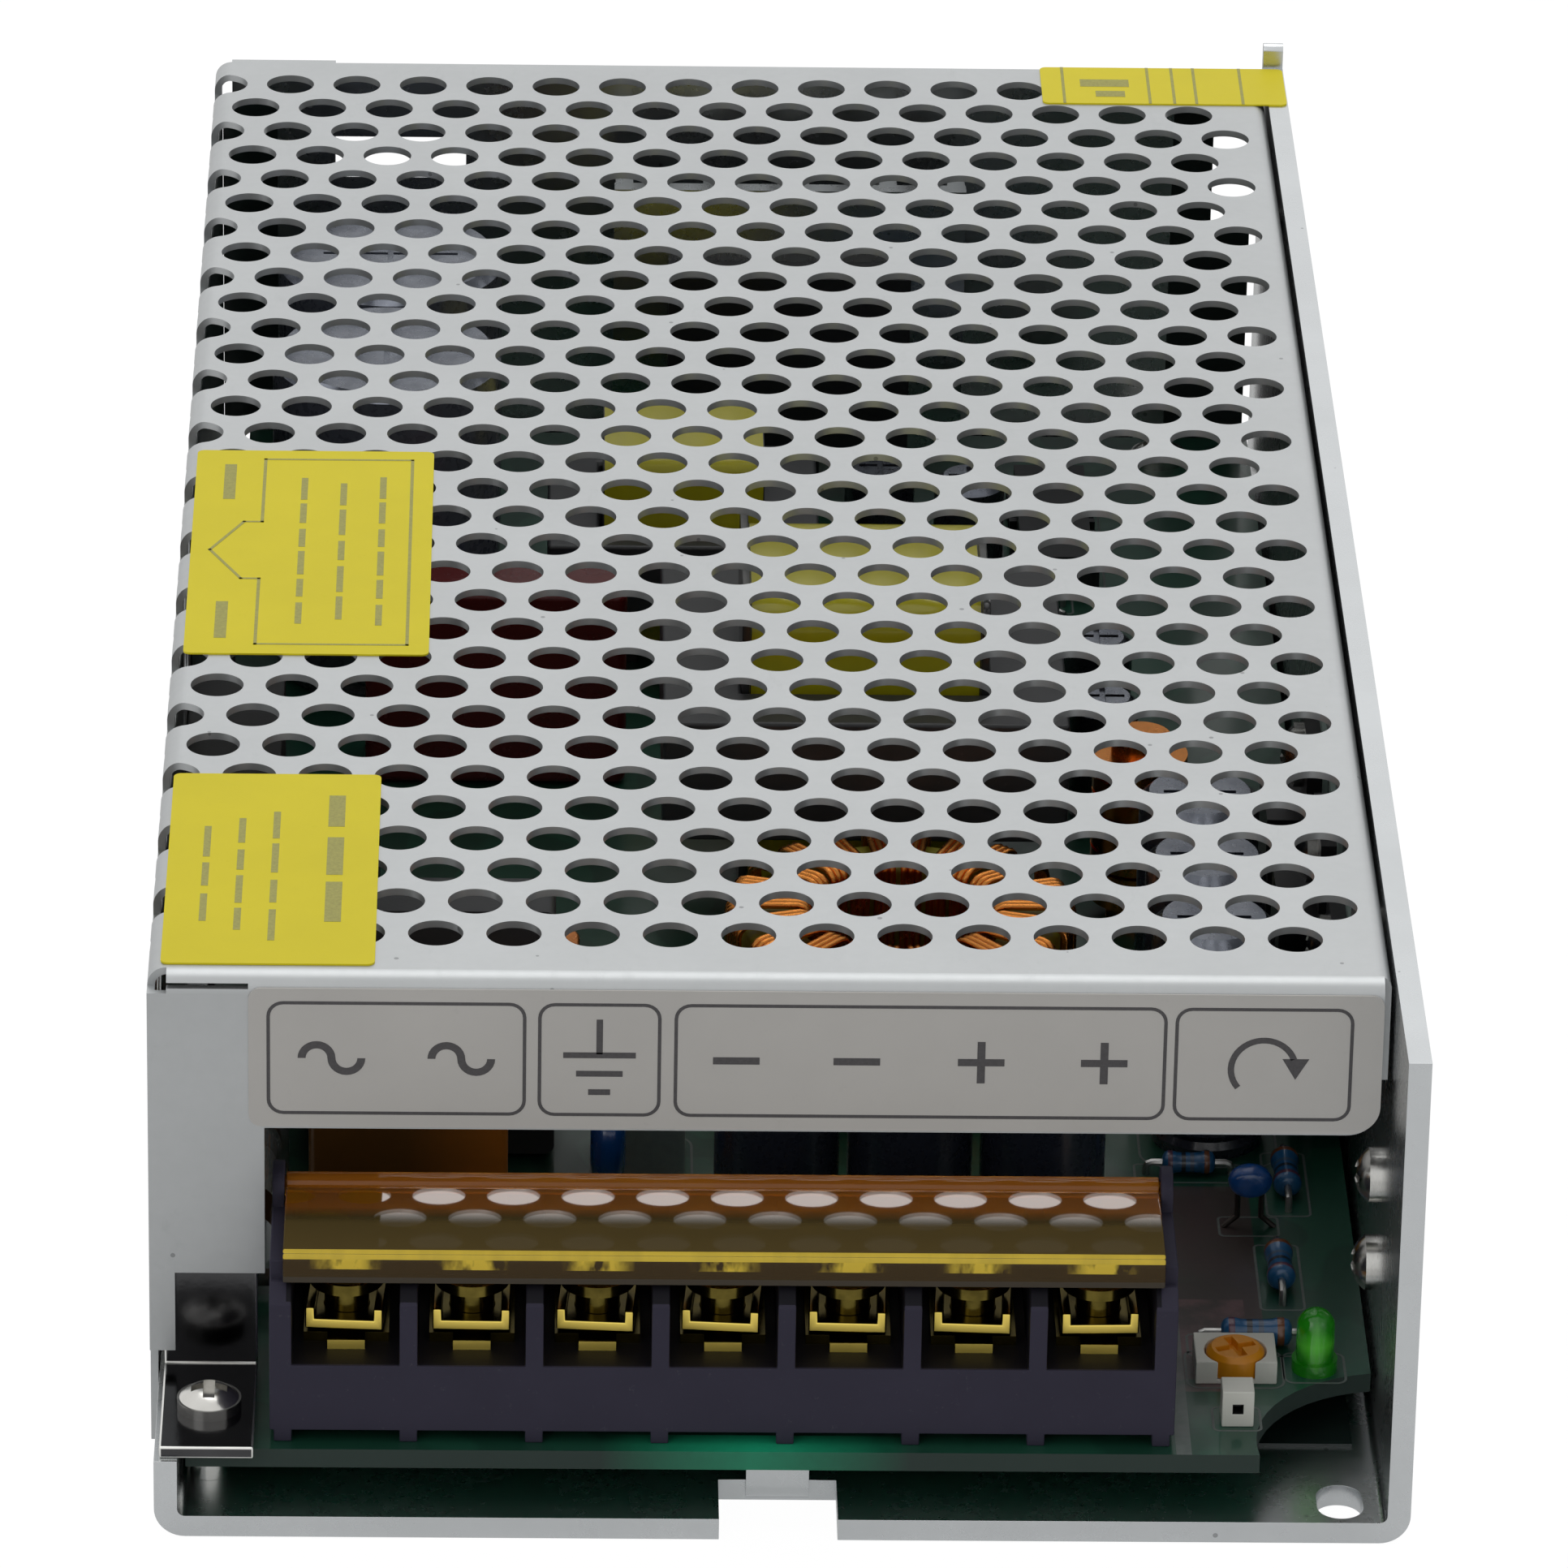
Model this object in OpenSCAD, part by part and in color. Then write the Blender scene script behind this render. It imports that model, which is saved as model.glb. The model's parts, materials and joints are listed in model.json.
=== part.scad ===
// Mesh case switching power supply: folded chassis, folded perforated cover,
// circuit board with its parts, barrier terminal block with a hinged clear cover.
// Millimetres. X runs across the case, Y towards the closed rear end, Z up.
// The origin is at the middle of the underside.

/* [Case] */
// Length of the case, from the open terminal end to the rear
case_l = 199; // [179:1:230]
// Width of the case
case_w = 98; // [88:0.5:115]
// Height of the case
case_h = 42; // [41:0.5:60]
// Sheet thickness of the chassis
chassis_t = 1.8; // [1.4:0.1:2.2]
// Sheet thickness of the cover
cover_t = 0.6; // [0.5:0.1:1.2]
// Outer radius of the folds in the chassis
chassis_fold_r = 2.4; // [2.3:0.1:4]
// Outer radius of the folds in the cover
cover_fold_r = 1.5; // [1.45:0.05:2]
// Height of the low lip on the left side of the chassis
lip_h = 6.6; // [5.5:0.1:8]
// How far the floor stands out in front of the cover
front_ledge = 13; // [12.6:0.1:18]
// How far the rear wall is set back from the end of the right wall
rear_set = 2.1; // [1:0.1:4]
// Gap between two sheets that lie against each other
sheet_gap = 0.1; // [0.05:0.05:0.2]

/* [Perforation] */
// Diameter of a hole in the cover
hole_d = 4.3; // [3:0.1:4.8]
// Distance between holes across the case
hole_px = 6.06; // [5.6:0.02:8]
// Distance between rows of holes along the case
hole_py = 5.52; // [5.2:0.02:8]
// Distance from the first column, on the fold, to the outer face of the left wall
first_column = 0.91; // [0.6:0.01:1.2]
// Distance from the last row to the rear edge of the cover
rear_margin = 5.8; // [4.5:0.1:8]
// Least distance from a hole's centre to the edge of the cover
hole_margin = 3.5; // [3:0.1:6]

/* [Cover flanges] */
// Height of the front flange that carries the terminal label
flange_h = 13.1; // [10:0.1:15]
// Height of the deeper wing at the left end of the front
wing_h = 25.9; // [20:0.1:26]
// Width of the wing at the left end of the front and rear
wing_w = 9; // [8.9:0.1:10]
// Width of the leg that runs down from the wing along the side wall
leg_w = 2; // [1.5:0.1:3]
// Lowest point of that leg
leg_z = 9.2; // [8.6:0.1:14]
// Depth of the side flange inside the right wall
side_flange_h = 9; // [7.5:0.1:10]

/* [Circuit board] */
// Thickness of the circuit board
board_t = 1.6; // [1:0.1:2]
// Height of the stand-offs between floor and board
standoff_h = 3.2; // [2.9:0.1:5]
// How far the board's front edge is behind the front of the floor
board_set = 2.1; // [1.8:0.1:3]
// Radius of the corner cut from the board at its front right corner
corner_cut_r = 11.3; // [9:0.1:11.8]

/* [Terminal block] */
// Most terminals; a narrow case has room for fewer
most_ways = 7; // [3:1:7]
// Distance between terminals
way_pitch = 9.72; // [8.8:0.02:9.76]
// Width of a wire bay
bay_w = 8.35; // [7.6:0.05:8.4]
// Thickness of the block's end walls
end_wall = 1.7; // [1.5:0.1:2.2]
// Depth of the block from front to rear
block_d = 15.5; // [14.9:0.1:18]
// Height of the bay floor above the board
bay_floor_h = 6.7; // [5:0.1:6.9]
// Height of the barriers above the board
barrier_h = 14.7; // [14.2:0.1:15.5]
// Height of the feet under the block
foot_h = 1; // [0.6:0.1:1.6]
// Thickness of the clear cover's walls
flap_t = 1; // [0.7:0.1:1.2]
// Height of the clear cover's front skirt, with its top
skirt_h = 2.6; // [2.2:0.1:3.4]
// Diameter of the clear cover's hinge pins
pin_d = 1.5; // [1:0.1:1.6]

/* [Terminal screws] */
// Diameter of the terminal screws' heads
screw_head_d = 5.8; // [5:0.1:6.2]
// Diameter of the terminal screws' shanks
screw_d = 3.5; // [3:0.1:4]
// Side of the square clamp washers
washer_w = 6; // [5.6:0.1:6.4]

/* [Adjuster and selector] */
// Side of the adjuster's body
adjuster_w = 6.4; // [6:0.1:7]
// Diameter of the adjuster's rotor
rotor_d = 4.6; // [4:0.1:4.8]
// Length of the selector switch, along the case
selector_l = 20; // [18:0.5:24]
// Distance that the selector's slider travels
selector_travel = 4.5; // [3:0.5:5]

/* [Large parts] */
// Diameter of the two bulk capacitors
bulk_d = 20; // [16:0.5:20.5]
// Height of the two bulk capacitors
bulk_h = 30; // [20:0.5:31]
// Outer diameter of the output choke
toroid_d = 29; // [24:0.5:30]
// Diameter of the output capacitors
out_cap_d = 10; // [8:0.5:10]
// Height of the output capacitors
out_cap_h = 20; // [12:0.5:26]
// Number of turns on the output choke
toroid_turns = 22; // [12:1:24]

/* [Hidden] */
$fn = 48;
EPS = 0.01;
SEAT = 0.02;

// The case's planes
left = -case_w / 2;
right = case_w / 2;
front = -case_l / 2;
rear = case_l / 2;
wall_in = right - chassis_t;
lip_out = left + cover_t + sheet_gap;
lip_in = lip_out + chassis_t;
rear_out = rear - rear_set;
rear_in = rear_out - chassis_t;
cover_front = front + front_ledge;
cover_rear = rear_out + sheet_gap + cover_t;
cover_right = wall_in - 0.3;
cover_under = case_h - cover_t;
rear_wall_right = wall_in - 6.2;

// The floor's notch and tab at the middle of the front edge
notch_w = 9.2;
notch_d = 6.2;
tab_w = 4.9;
tab_h = 4.2;
slot_w = 3.6;
slot_l = 5.2;
slot_x = right - 5.3;
slot_y = front + 0.7 + slot_l / 2;
tap_d = 2.5;
tap_x = 25;
tap_y = 75 * case_l / 199;
floor_taps = [for (x = [-tap_x, tap_x], y = [-tap_y, tap_y]) [x, y]];

// The rear wall's vent, the lug on the right wall and the slit over the wing
vent_x = left + 11;
vent_l = 12;
vent_h = 4;
vent_z = case_h - 10.5;
lug_l = 1.2;
lug_h = 2.2;
slit_l = 7.8;
slit_h = 0.4;
slit_z = case_h - 1.1;
flange_corner_r = 2.5;

// The case's own screws
case_screw_d = 2.5;
sink_d = 4.6;
sink_h = 1.2;
side_screw_y = [cover_front + 22, cover_rear - 22];
side_screw_z = case_h - 5.6;
lip_screw_y = [cover_front + 30, cover_rear - 30];
lip_screw_z = 4.2;
wall_screw_d = 3;
wall_screw_at = [[front + 21, 13.4], [front + 21, 21.2]];

// The label and the stickers
label_t = 0.15;
label_edge = 0.2;

// The perforation, laid out on the flat sheet before it is folded
x_first = left + first_column;
past_tangent = left + cover_fold_r - x_first;
fold_arc = 90 * PI / 180 * (cover_fold_r - cover_t / 2);
y_last = cover_rear - rear_margin;
hole_rows = floor((y_last - cover_front - hole_margin) / hole_py) + 1;
wall_columns = 6;
wall_hole_min = lip_h + hole_d / 2 + 1;

// The board and what carries it
board_z0 = chassis_t + standoff_h;
board_z = board_z0 + board_t;
board_gap = 0.6;
board_left = lip_in + board_gap;
board_right = wall_in - 0.5;
board_front = front + board_set;
board_rear = rear_in - 1.6;
board_mid = (board_front + board_rear) / 2;
parts_front = board_front + 0.9;
board_screw_d = 2;
board_hole_d = 2.3;
standoff_d = 4;
stud_d = 3;
earth_screw_at = [board_left + 1.7, parts_front + 4];
board_screw_at = [[board_left + 5, board_rear - 5], [board_right - 8.5, board_rear - 5],
    [board_right - 8, parts_front + 100]];
head_d = 5;
head_h = 1.9;

// The earth bracket lies on the board and the lip
bracket_t = 1;
bracket_w = 7.3;
bracket_front = front + 0.5;
bracket_rear = cover_front + cover_t + 1.3;
bracket_h = 11;

// The terminal block
block_left = board_left + 6.465;
block_room = board_right - 14.3 - block_left;
ways = min(most_ways, floor((block_room - 2 * end_wall - bay_w) / way_pitch) + 1);
block_half = (ways - 1) / 2 * way_pitch + bay_w / 2 + end_wall;
block_x = block_left + block_half;
block_front = parts_front + 0.3;
block_rear = block_front + block_d;
barrier_front = block_front + 2.2;
seat_d = screw_d + 0.3;
bay_z = board_z + bay_floor_h;
barrier_z = board_z + barrier_h;
way_x = [for (i = [0 : ways - 1]) block_x + (i - (ways - 1) / 2) * way_pitch];
ear_t = 0.95;
flap_gap = 0.1;
flap_half = block_half - ear_t - flap_gap;
flap_z = barrier_z + 0.3;
knuckle_d = pin_d + 0.7;
hinge_y = block_rear - 2.5;
hinge_z = flap_z + flap_t / 2;
screw_y = block_front + 6.5;
plate_t = 0.8;
plate_z = bay_z + plate_t;
tongue_w = 2.9;
washer_t = 0.8;
washer_side = 1.8;
washer_z = plate_z + 0.5;
head_z = plate_z + 3.3;

// The adjuster
adjuster_x = board_right - 10.7;
adjuster_y = parts_front + 12.3;
adjuster_front = 2;
adjuster_back = 2.85;
adjuster_h = 2;
adjuster_base = 0.4;
rotor_h = 1.9;
stub_d = 2;

// The test socket and the indicator beside it
socket_at = [board_right - 10.95, parts_front + 4.75];
socket_w = 2.5;
socket_h = 3.1;
socket_hole = 0.8;
led_at = [board_right - 4.4, parts_front + 13];
led_d = 3;

// The selector switch behind the left wall
selector_y = front + 89.5;
selector_z = 22;
selector_w = 9.6;
selector_d = 8;
window_l = 13;
window_h = 6.4;
slider_l = window_l - selector_travel - 0.4;

// Places on the board: from its left or its right edge, and from its front, middle or rear
function left_front(x, y) = [board_left + x, parts_front + y];
function left_mid(x, y) = [board_left + x, board_mid + y];
function left_rear(x, y) = [board_left + x, board_rear - y];
function right_front(x, y) = [wall_in - x, parts_front + y];

// The input side
fuse_at = left_front(3.9, 34);
fuse_z = 5;
fuse_cap = 8;
inlet_at = left_front(16.8, 33);
line_choke_at = left_front(18.4, 50);
grey_at = left_front(35.5, 47);
thermistor_at = left_front(8.5, 70);
film_at = [board_left + 23.2, min(board_rear - 70, board_mid + 25.25)];
bulk_at = [left_rear(13.4, 49.1), left_rear(13.4, 27.9)];

// The transformers
main_at = right_front(38.8, 100);
main_w = 34;
main_d = 32;
main_coil_w = 19.4;
main_coil_d = main_d - 13.4;
drive_at = left_mid(39.6, 52.75);
drive_w = 24;
drive_d = 22;
drive_coil_w = 14.2;
drive_coil_d = drive_d - 8.6;
drive_front = drive_at[1] - drive_d / 2;
main_rear = main_at[1] + main_d / 2;

// The output side
toroid_at = right_front(36.3, 65.5);
toroid_h = 12;
wire_d = 1.2;
toroid_in = toroid_d - 14.5;
rod_choke_at = right_front(15.4, 92);
out_caps = concat([for (k = [0 : 2]) right_front(11.4, 52 + k * 11.5)],
    [for (k = [0 : 2]) left_front(46.1 + k * 10.6, 32)]);

// The small parts
small_cap_d = 6.3;
small_cap_h = 11;
small_caps = [right_front(17.6, 112), right_front(17.6, 124), [drive_at[0] + 27.9, board_mid + 36.75],
    [drive_at[0] + 17.9, board_mid + 64.75], [drive_at[0] + 25.9, board_mid + 62.75], left_front(10.5, 90)];
chips = [[drive_at[0] + 33.9, board_mid + 70.75],
    [drive_at[0] + 4.9, main_rear + 0.571 * (drive_front - main_rear)]];
heatsink_at = left_rear(49.5, 10.5);
heatsink_w = 32;
heatsink_h = 29;
bridge_w = 22;

// The power devices on the right wall
device_y = [front + 58, front + 76, front + 94];
device_lift = 3;
device_h = 15.5;
device_t = 4.5;
device_w = 10;
device_screw_d = 3;
device_screw_z = board_z + device_lift + device_h * 0.82;
tab_t = 1.3;
pad_t = 0.4;
pad_edge = 0.8;

// ------------------------------------------------------------- small shapes

// Rectangle with rounded corners, on its centre
module rounded(w, h, r) {
    square([w - 2 * r, h], center = true);
    square([w, h - 2 * r], center = true);
    for (x = [-1, 1], y = [-1, 1]) translate([x * (w / 2 - r), y * (h / 2 - r)]) circle(r);
}

// What is cut away to round a corner whose point is at the origin, the sheet above and to its left
module corner_waste(r) {
    difference() {
        translate([-r, -1]) square([r + 1, r + 1]);
        translate([-r, r]) circle(r);
    }
}

// Block between two corners
module block(low, high) {
    translate(low) cube(high - low);
}

// Profile drawn in Y and Z, extruded along X from x0 to x1
module along_x(x0, x1) {
    translate([x0, 0, 0]) rotate([90, 0, 90]) linear_extrude(x1 - x0) children();
}

// Profile drawn in X and Z, extruded along Y from y0 to y1
module along_y(y0, y1) {
    translate([0, y1, 0]) rotate([90, 0, 0]) linear_extrude(y1 - y0) children();
}

// Quarter of a sheet's fold, its centre at the origin, in the lower left quarter
module fold(r, t) {
    intersection() {
        difference() {
            circle(r);
            circle(r - t);
        }
        translate([-r, -r]) square(r);
    }
}

// Pan-head screw with a cross recess, head down to z = 0 and shank below
module pan_screw(d, length, head_d = head_d, head_h = head_h) {
    difference() {
        rotate_extrude() intersection() {
            union() {
                translate([0, 0]) square([head_d / 2, head_h * 0.45]);
                translate([0, head_h - head_d * 0.62]) circle(head_d * 0.62);
            }
            square([head_d / 2, head_h]);
        }
        for (turn = [0, 90]) rotate(turn)
            translate([-head_d * 0.28, -0.45, head_h * 0.5]) cube([head_d * 0.56, 0.9, head_h]);
    }
    translate([0, 0, -length]) cylinder(d = d, h = length + EPS);
}

// Countersunk screw with a cross recess, its flat head level with z = 0
module flat_screw(d, length) {
    difference() {
        translate([0, 0, -sink_h]) cylinder(d1 = d, d2 = sink_d - 2 * SEAT, h = sink_h);
        for (turn = [0, 90]) rotate(turn)
            translate([-sink_d * 0.28, -0.4, -sink_h * 0.6]) cube([sink_d * 0.56, 0.8, sink_h]);
    }
    translate([0, 0, -length]) cylinder(d = d, h = length - sink_h + EPS);
}

// What is cut for a countersunk screw that is driven along -z from z = 0
module sunk_hole(d, depth) {
    translate([0, 0, -sink_h]) cylinder(d1 = d, d2 = sink_d, h = sink_h);
    cylinder(d = sink_d, h = 1);
    translate([0, 0, -depth]) cylinder(d = d, h = depth);
}

// Electrolytic capacitor standing on the board: bevelled can with a score line on its top
module can(d, h) {
    difference() {
        rotate_extrude() polygon([[0, 0], [d / 2 - 0.5, 0], [d / 2 - 0.3, 1], [d / 2 - 0.6, 1.6],
            [d / 2, 2.4], [d / 2, h - 0.8], [d / 2 - 0.8, h], [0, h]]);
        for (turn = [0, 90]) rotate(turn)
            translate([-d * 0.3, -0.25, h - 0.3]) cube([d * 0.6, 0.5, 1]);
    }
}

// Axial part lying along X: waisted body and two leads bent down to the board
module axial(length, d, span, lead_d) {
    axis_z = d / 2 + 0.1;
    translate([0, 0, axis_z]) {
        rotate([0, 90, 0]) {
            cylinder(d = d * 0.84, h = length - d, center = true);
            for (s = [-1, 1]) translate([0, 0, s * (length - d) / 2])
                cylinder(d = d, h = d, center = true);
        }
        for (s = [-1, 1]) {
            translate([s * (length / 2 - EPS), 0, 0]) rotate([0, s * 90, 0])
                cylinder(d = lead_d, h = span / 2 - length / 2 + EPS, $fn = 16);
            translate([s * span / 2, 0, -axis_z])
                cylinder(d = lead_d, h = axis_z + lead_d / 2, $fn = 16);
        }
    }
}

// Disc capacitor standing on two leads, its flat faces towards Y
module disc_cap(d, t, lift, span) {
    translate([0, 0, lift + d / 2]) rotate([90, 0, 0]) rotate_extrude()
        union() {
            square([d / 2 - t / 2, t]);
            intersection() {
                translate([d / 2 - t / 2, t / 2]) circle(t / 2);
                square([d, t]);
            }
        }
    for (s = [-1, 1]) translate([s * span / 2, -t / 2, 0])
        cylinder(d = 0.6, h = lift + d / 2 - sqrt(max(0.01, pow(d / 2 - t / 4, 2) - pow(span / 2, 2))), $fn = 16);
}

// Transistor lying flat against the wall at x = 0, standing on its three leads
module power_device(body_h, w, t, tab_t, lift) {
    block([-t, -w / 2, lift], [-0.5, w / 2, lift + body_h * 0.58]);
    difference() {
        block([-tab_t, -w / 2, lift + body_h * 0.02], [0, w / 2, lift + body_h]);
        translate([-tab_t - 1, 0, lift + body_h * 0.82]) rotate([0, 90, 0]) cylinder(d = 3.4, h = tab_t + 2);
    }
    for (s = [-1, 0, 1]) block([-t * 0.6 - 0.3, s * 2.54 - 0.4, 0], [-t * 0.6 + 0.3, s * 2.54 + 0.4, lift + EPS]);
}

// ------------------------------------------------------------------ the case

// Floor, right wall and left lip in one section
module chassis_section() {
    r = chassis_fold_r;
    translate([lip_out + r, r]) fold(r, chassis_t);
    translate([lip_out, r]) square([chassis_t, lip_h - r]);
    translate([lip_out + r, 0]) square([right - lip_out - 2 * r, chassis_t]);
    translate([right - r, r]) mirror([1, 0]) fold(r, chassis_t);
    translate([wall_in, r]) square([chassis_t, case_h - r]);
}

module rear_wall_section() {
    r = chassis_fold_r;
    translate([rear_out - r - EPS, 0]) square([EPS, chassis_t]);
    translate([rear_out - r, r]) mirror([1, 0]) fold(r, chassis_t);
    translate([rear_in, r]) square([chassis_t, cover_under - 0.3 - r]);
}

module tab_section() {
    bend = chassis_t;
    y = front + notch_d;
    translate([y - 0.9 + bend, bend]) fold(bend, chassis_t - EPS);
    translate([y - 0.9 + bend, 0]) square([2, chassis_t]);
    translate([y - 0.9, bend]) square([chassis_t, tab_h - bend]);
}

// Lug on the rear end of the right wall's top edge
module lug_section() {
    r = lug_l / 2;
    translate([rear - lug_l, case_h - EPS]) square([lug_l, lug_h - r + EPS]);
    translate([rear - r, case_h + lug_h - r]) circle(r);
}

module chassis() {
    color("lightgray") difference() {
        union() {
            difference() {
                along_y(front, rear_out - chassis_fold_r) chassis_section();
                translate([-notch_w / 2, front - 1, -1]) cube([notch_w, notch_d + 1, chassis_t + 2]);
            }
            block([wall_in, rear_out - chassis_fold_r - EPS, chassis_fold_r], [right, rear, case_h]);
            along_x(lip_in + 1.2, rear_wall_right) rear_wall_section();
            along_x(-tab_w / 2, tab_w / 2) tab_section();
            along_x(wall_in, right) lug_section();
        }
        // mounting slot at the front right corner of the floor
        translate([slot_x, slot_y, -1]) linear_extrude(chassis_t + 2) rounded(slot_w, slot_l, slot_w / 2 - EPS);
        // tapped holes in the underside
        for (p = floor_taps) translate([p[0], p[1], -1]) cylinder(d = tap_d, h = chassis_t + 2);
        // holes that the stand-offs are pressed into
        for (p = concat([earth_screw_at], board_screw_at))
            translate([p[0], p[1], -1]) cylinder(d = stud_d, h = chassis_t + 2);
        // vent slot in the rear wall
        block([vent_x, rear_in - 1, vent_z], [vent_x + vent_l, rear_out + 1, vent_z + vent_h]);
        // holes for the side screws and the power devices
        for (y = side_screw_y) translate([right, y, side_screw_z]) rotate([0, 90, 0]) sunk_hole(case_screw_d, 3);
        for (y = lip_screw_y) translate([left, y, lip_screw_z]) rotate([0, -90, 0]) sunk_hole(case_screw_d, 4);
        for (y = device_y) translate([wall_in - 1, y, device_screw_z]) rotate([0, 90, 0]) cylinder(d = device_screw_d, h = chassis_t + 2);
        for (p = wall_screw_at) translate([wall_in - 1, p[0], p[1]]) rotate([0, 90, 0]) cylinder(d = wall_screw_d, h = chassis_t + 2);
    }
}

// Cover's sheet over the top and down the left wall, in one section
module cover_section() {
    r = cover_fold_r;
    translate([left + r, case_h - r]) mirror([0, 1]) fold(r, cover_t);
    translate([left, 0.4]) square([cover_t, case_h - r - 0.4]);
    translate([left + r, cover_under]) square([cover_right - cover_t - 0.5 - left - r, cover_t]);
    translate([cover_right - cover_t - 0.5, case_h - cover_t - 0.5]) mirror([1, 0]) mirror([0, 1]) fold(cover_t + 0.5, cover_t);
    translate([cover_right - cover_t, case_h - side_flange_h]) square([cover_t, side_flange_h - cover_t - 0.5]);
}

// Front and rear flanges in one section: s is 1 at the front and -1 at the rear
module flange_section(y, s, h) {
    r = cover_fold_r;
    translate([y + s * r, case_h - r]) mirror([0, 1]) mirror([s < 0 ? 1 : 0, 0]) fold(r, cover_t);
    translate([s > 0 ? y : y - cover_t, case_h - h]) square([cover_t, h - r]);
}

module holes_in_top() {
    for (j = [0 : hole_rows - 1]) {
        shift = (j % 2) * hole_px / 2;
        columns = floor((cover_right - hole_margin - x_first - shift) / hole_px);
        for (i = [(j % 2 == 0 ? 1 : 0) : columns])
            translate([x_first + shift + i * hole_px, y_last - j * hole_py]) circle(d = hole_d, $fn = 24);
    }
}

// The column on the fold: each hole opens both the top and the wall
module holes_in_fold() {
    reach = hole_d / 2 - (fold_arc - past_tangent);
    for (j = [0 : 2 : hole_rows - 1])
        translate([x_first, y_last - j * hole_py, case_h - cover_fold_r - reach])
            cylinder(d = hole_d, h = cover_fold_r + reach + 1, $fn = 24);
}

module holes_in_wall() {
    for (j = [0 : hole_rows - 1], k = [1 : wall_columns]) {
        flat = past_tangent + (k - (j % 2) / 2) * hole_px;
        z = case_h - cover_fold_r - (flat - fold_arc);
        y = y_last - j * hole_py;
        if (z > wall_hole_min && !(abs(y - selector_y) < selector_l / 2 + hole_d / 2 + 1
                && abs(z - selector_z) < selector_w / 2 + hole_d / 2))
            translate([y, z]) circle(d = hole_d, $fn = 24);
    }
}

module cover() {
    inner_front = cover_front + cover_fold_r;
    inner_rear = cover_rear - cover_t;
    color("gainsboro") difference() {
        union() {
            difference() {
                along_y(inner_front, inner_rear) cover_section();
                translate([0, 0, cover_under - 1]) linear_extrude(cover_t + 2) holes_in_top();
                along_x(left - 1, left + cover_t + 1) holes_in_wall();
            }
            // front flange, wing and leg
            along_x(left + cover_fold_r, cover_right - 0.6) flange_section(cover_front, 1, flange_h);
            block([left, cover_front, case_h - wing_h], [left + wing_w, cover_front + cover_t, case_h - flange_h + EPS]);
            block([left, cover_front, leg_z], [left + leg_w, cover_front + cover_t, case_h - wing_h + EPS]);
            block([left, cover_front, case_h - flange_h], [left + cover_fold_r + EPS, cover_front + cover_t, case_h - cover_fold_r]);
            block([left, cover_front + cover_t - EPS, leg_z], [left + cover_t, inner_front + EPS, case_h - cover_fold_r]);
            // rear wing, outside the rear wall
            block([left + cover_fold_r, inner_rear - EPS, cover_under], [cover_right - 2, inner_rear + EPS, case_h]);
            block([left + cover_fold_r, inner_rear, case_h - wing_h], [left + wing_w + 2, cover_rear, case_h]);
        }
        holes_in_fold();
        // slit between the top and the wing
        block([left - 1, cover_front - 1, slit_z], [left + slit_l, cover_front + cover_fold_r * 0.9, slit_z + slit_h]);
        along_y(cover_front - 1, cover_front + cover_t + 1) translate([cover_right - 0.6, case_h - flange_h])
            corner_waste(flange_corner_r);
        // window for the selector
        block([left - 1, selector_y - window_l / 2, selector_z - window_h / 2],
              [left + cover_t + 1, selector_y + window_l / 2, selector_z + window_h / 2]);
        for (y = side_screw_y) translate([right, y, side_screw_z]) rotate([0, 90, 0]) sunk_hole(case_screw_d, 4);
        for (y = lip_screw_y) translate([left, y, lip_screw_z]) rotate([0, -90, 0]) sunk_hole(case_screw_d, 4);
    }
}

// ------------------------------------------------------------- labels

module terminal_label() {
    x0 = left + slit_l;
    x1 = cover_right - 0.6;
    z1 = case_h - cover_fold_r + 0.6;
    z0 = case_h - flange_h + label_edge;
    color("whitesmoke") along_y(cover_front - label_t, cover_front) difference() {
        translate([(x0 + x1) / 2, (z0 + z1) / 2]) rounded(x1 - x0, z1 - z0, 1);
        translate([x1, z0]) corner_waste(flange_corner_r - label_edge);
    }
}

module sticker(x0, y0, x1, y1) {
    color("gold") translate([(x0 + x1) / 2, (y0 + y1) / 2, case_h])
        linear_extrude(label_t) rounded(x1 - x0, y1 - y0, 0.6);
}

module selector_sticker() {
    sticker(left + 1, front + 70.5, left + 21, front + 110.5);
}

module corner_sticker() {
    sticker(left + 1, cover_front + 2, left + 17.5, cover_front + 35.2);
}

module seal_sticker() {
    sticker(right - 22.4, cover_rear - 8.9, right - 0.1, cover_rear - 0.4);
}

// ------------------------------------------------------------- fasteners of the case

module cover_screws() {
    color("silver") {
        for (y = side_screw_y) translate([right, y, side_screw_z]) rotate([0, 90, 0])
            flat_screw(case_screw_d - SEAT, right - cover_right + cover_t + 1);
        for (y = lip_screw_y) translate([left, y, lip_screw_z]) rotate([0, -90, 0])
            flat_screw(case_screw_d - SEAT, lip_in - left);
    }
}

module wall_screws() {
    color("silver") for (p = wall_screw_at) translate([wall_in, p[0], p[1]]) rotate([0, -90, 0])
        pan_screw(wall_screw_d - SEAT, chassis_t, 4.4, 2);
}

// ------------------------------------------------------------- the board

module insulating_sheet() {
    color("darkslategray") translate([0, 0, chassis_t]) linear_extrude(0.25) difference() {
        translate([lip_in + 2, parts_front + 9]) square([wall_in - lip_in - 4, board_rear - parts_front - 12]);
        for (p = board_screw_at) translate(p) circle(d = standoff_d + 1);
        translate(earth_screw_at) circle(d = standoff_d + 1);
    }
}

module board_standoffs() {
    color("silver") for (p = concat([earth_screw_at], board_screw_at)) translate([p[0], p[1], 0]) difference() {
        union() {
            cylinder(d = stud_d - SEAT, h = board_z0);
            if (p != earth_screw_at) translate([0, 0, chassis_t]) cylinder(d = standoff_d, h = standoff_h);
        }
        translate([0, 0, -1]) cylinder(d = board_screw_d, h = board_z0 + 2);
    }
}

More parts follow.
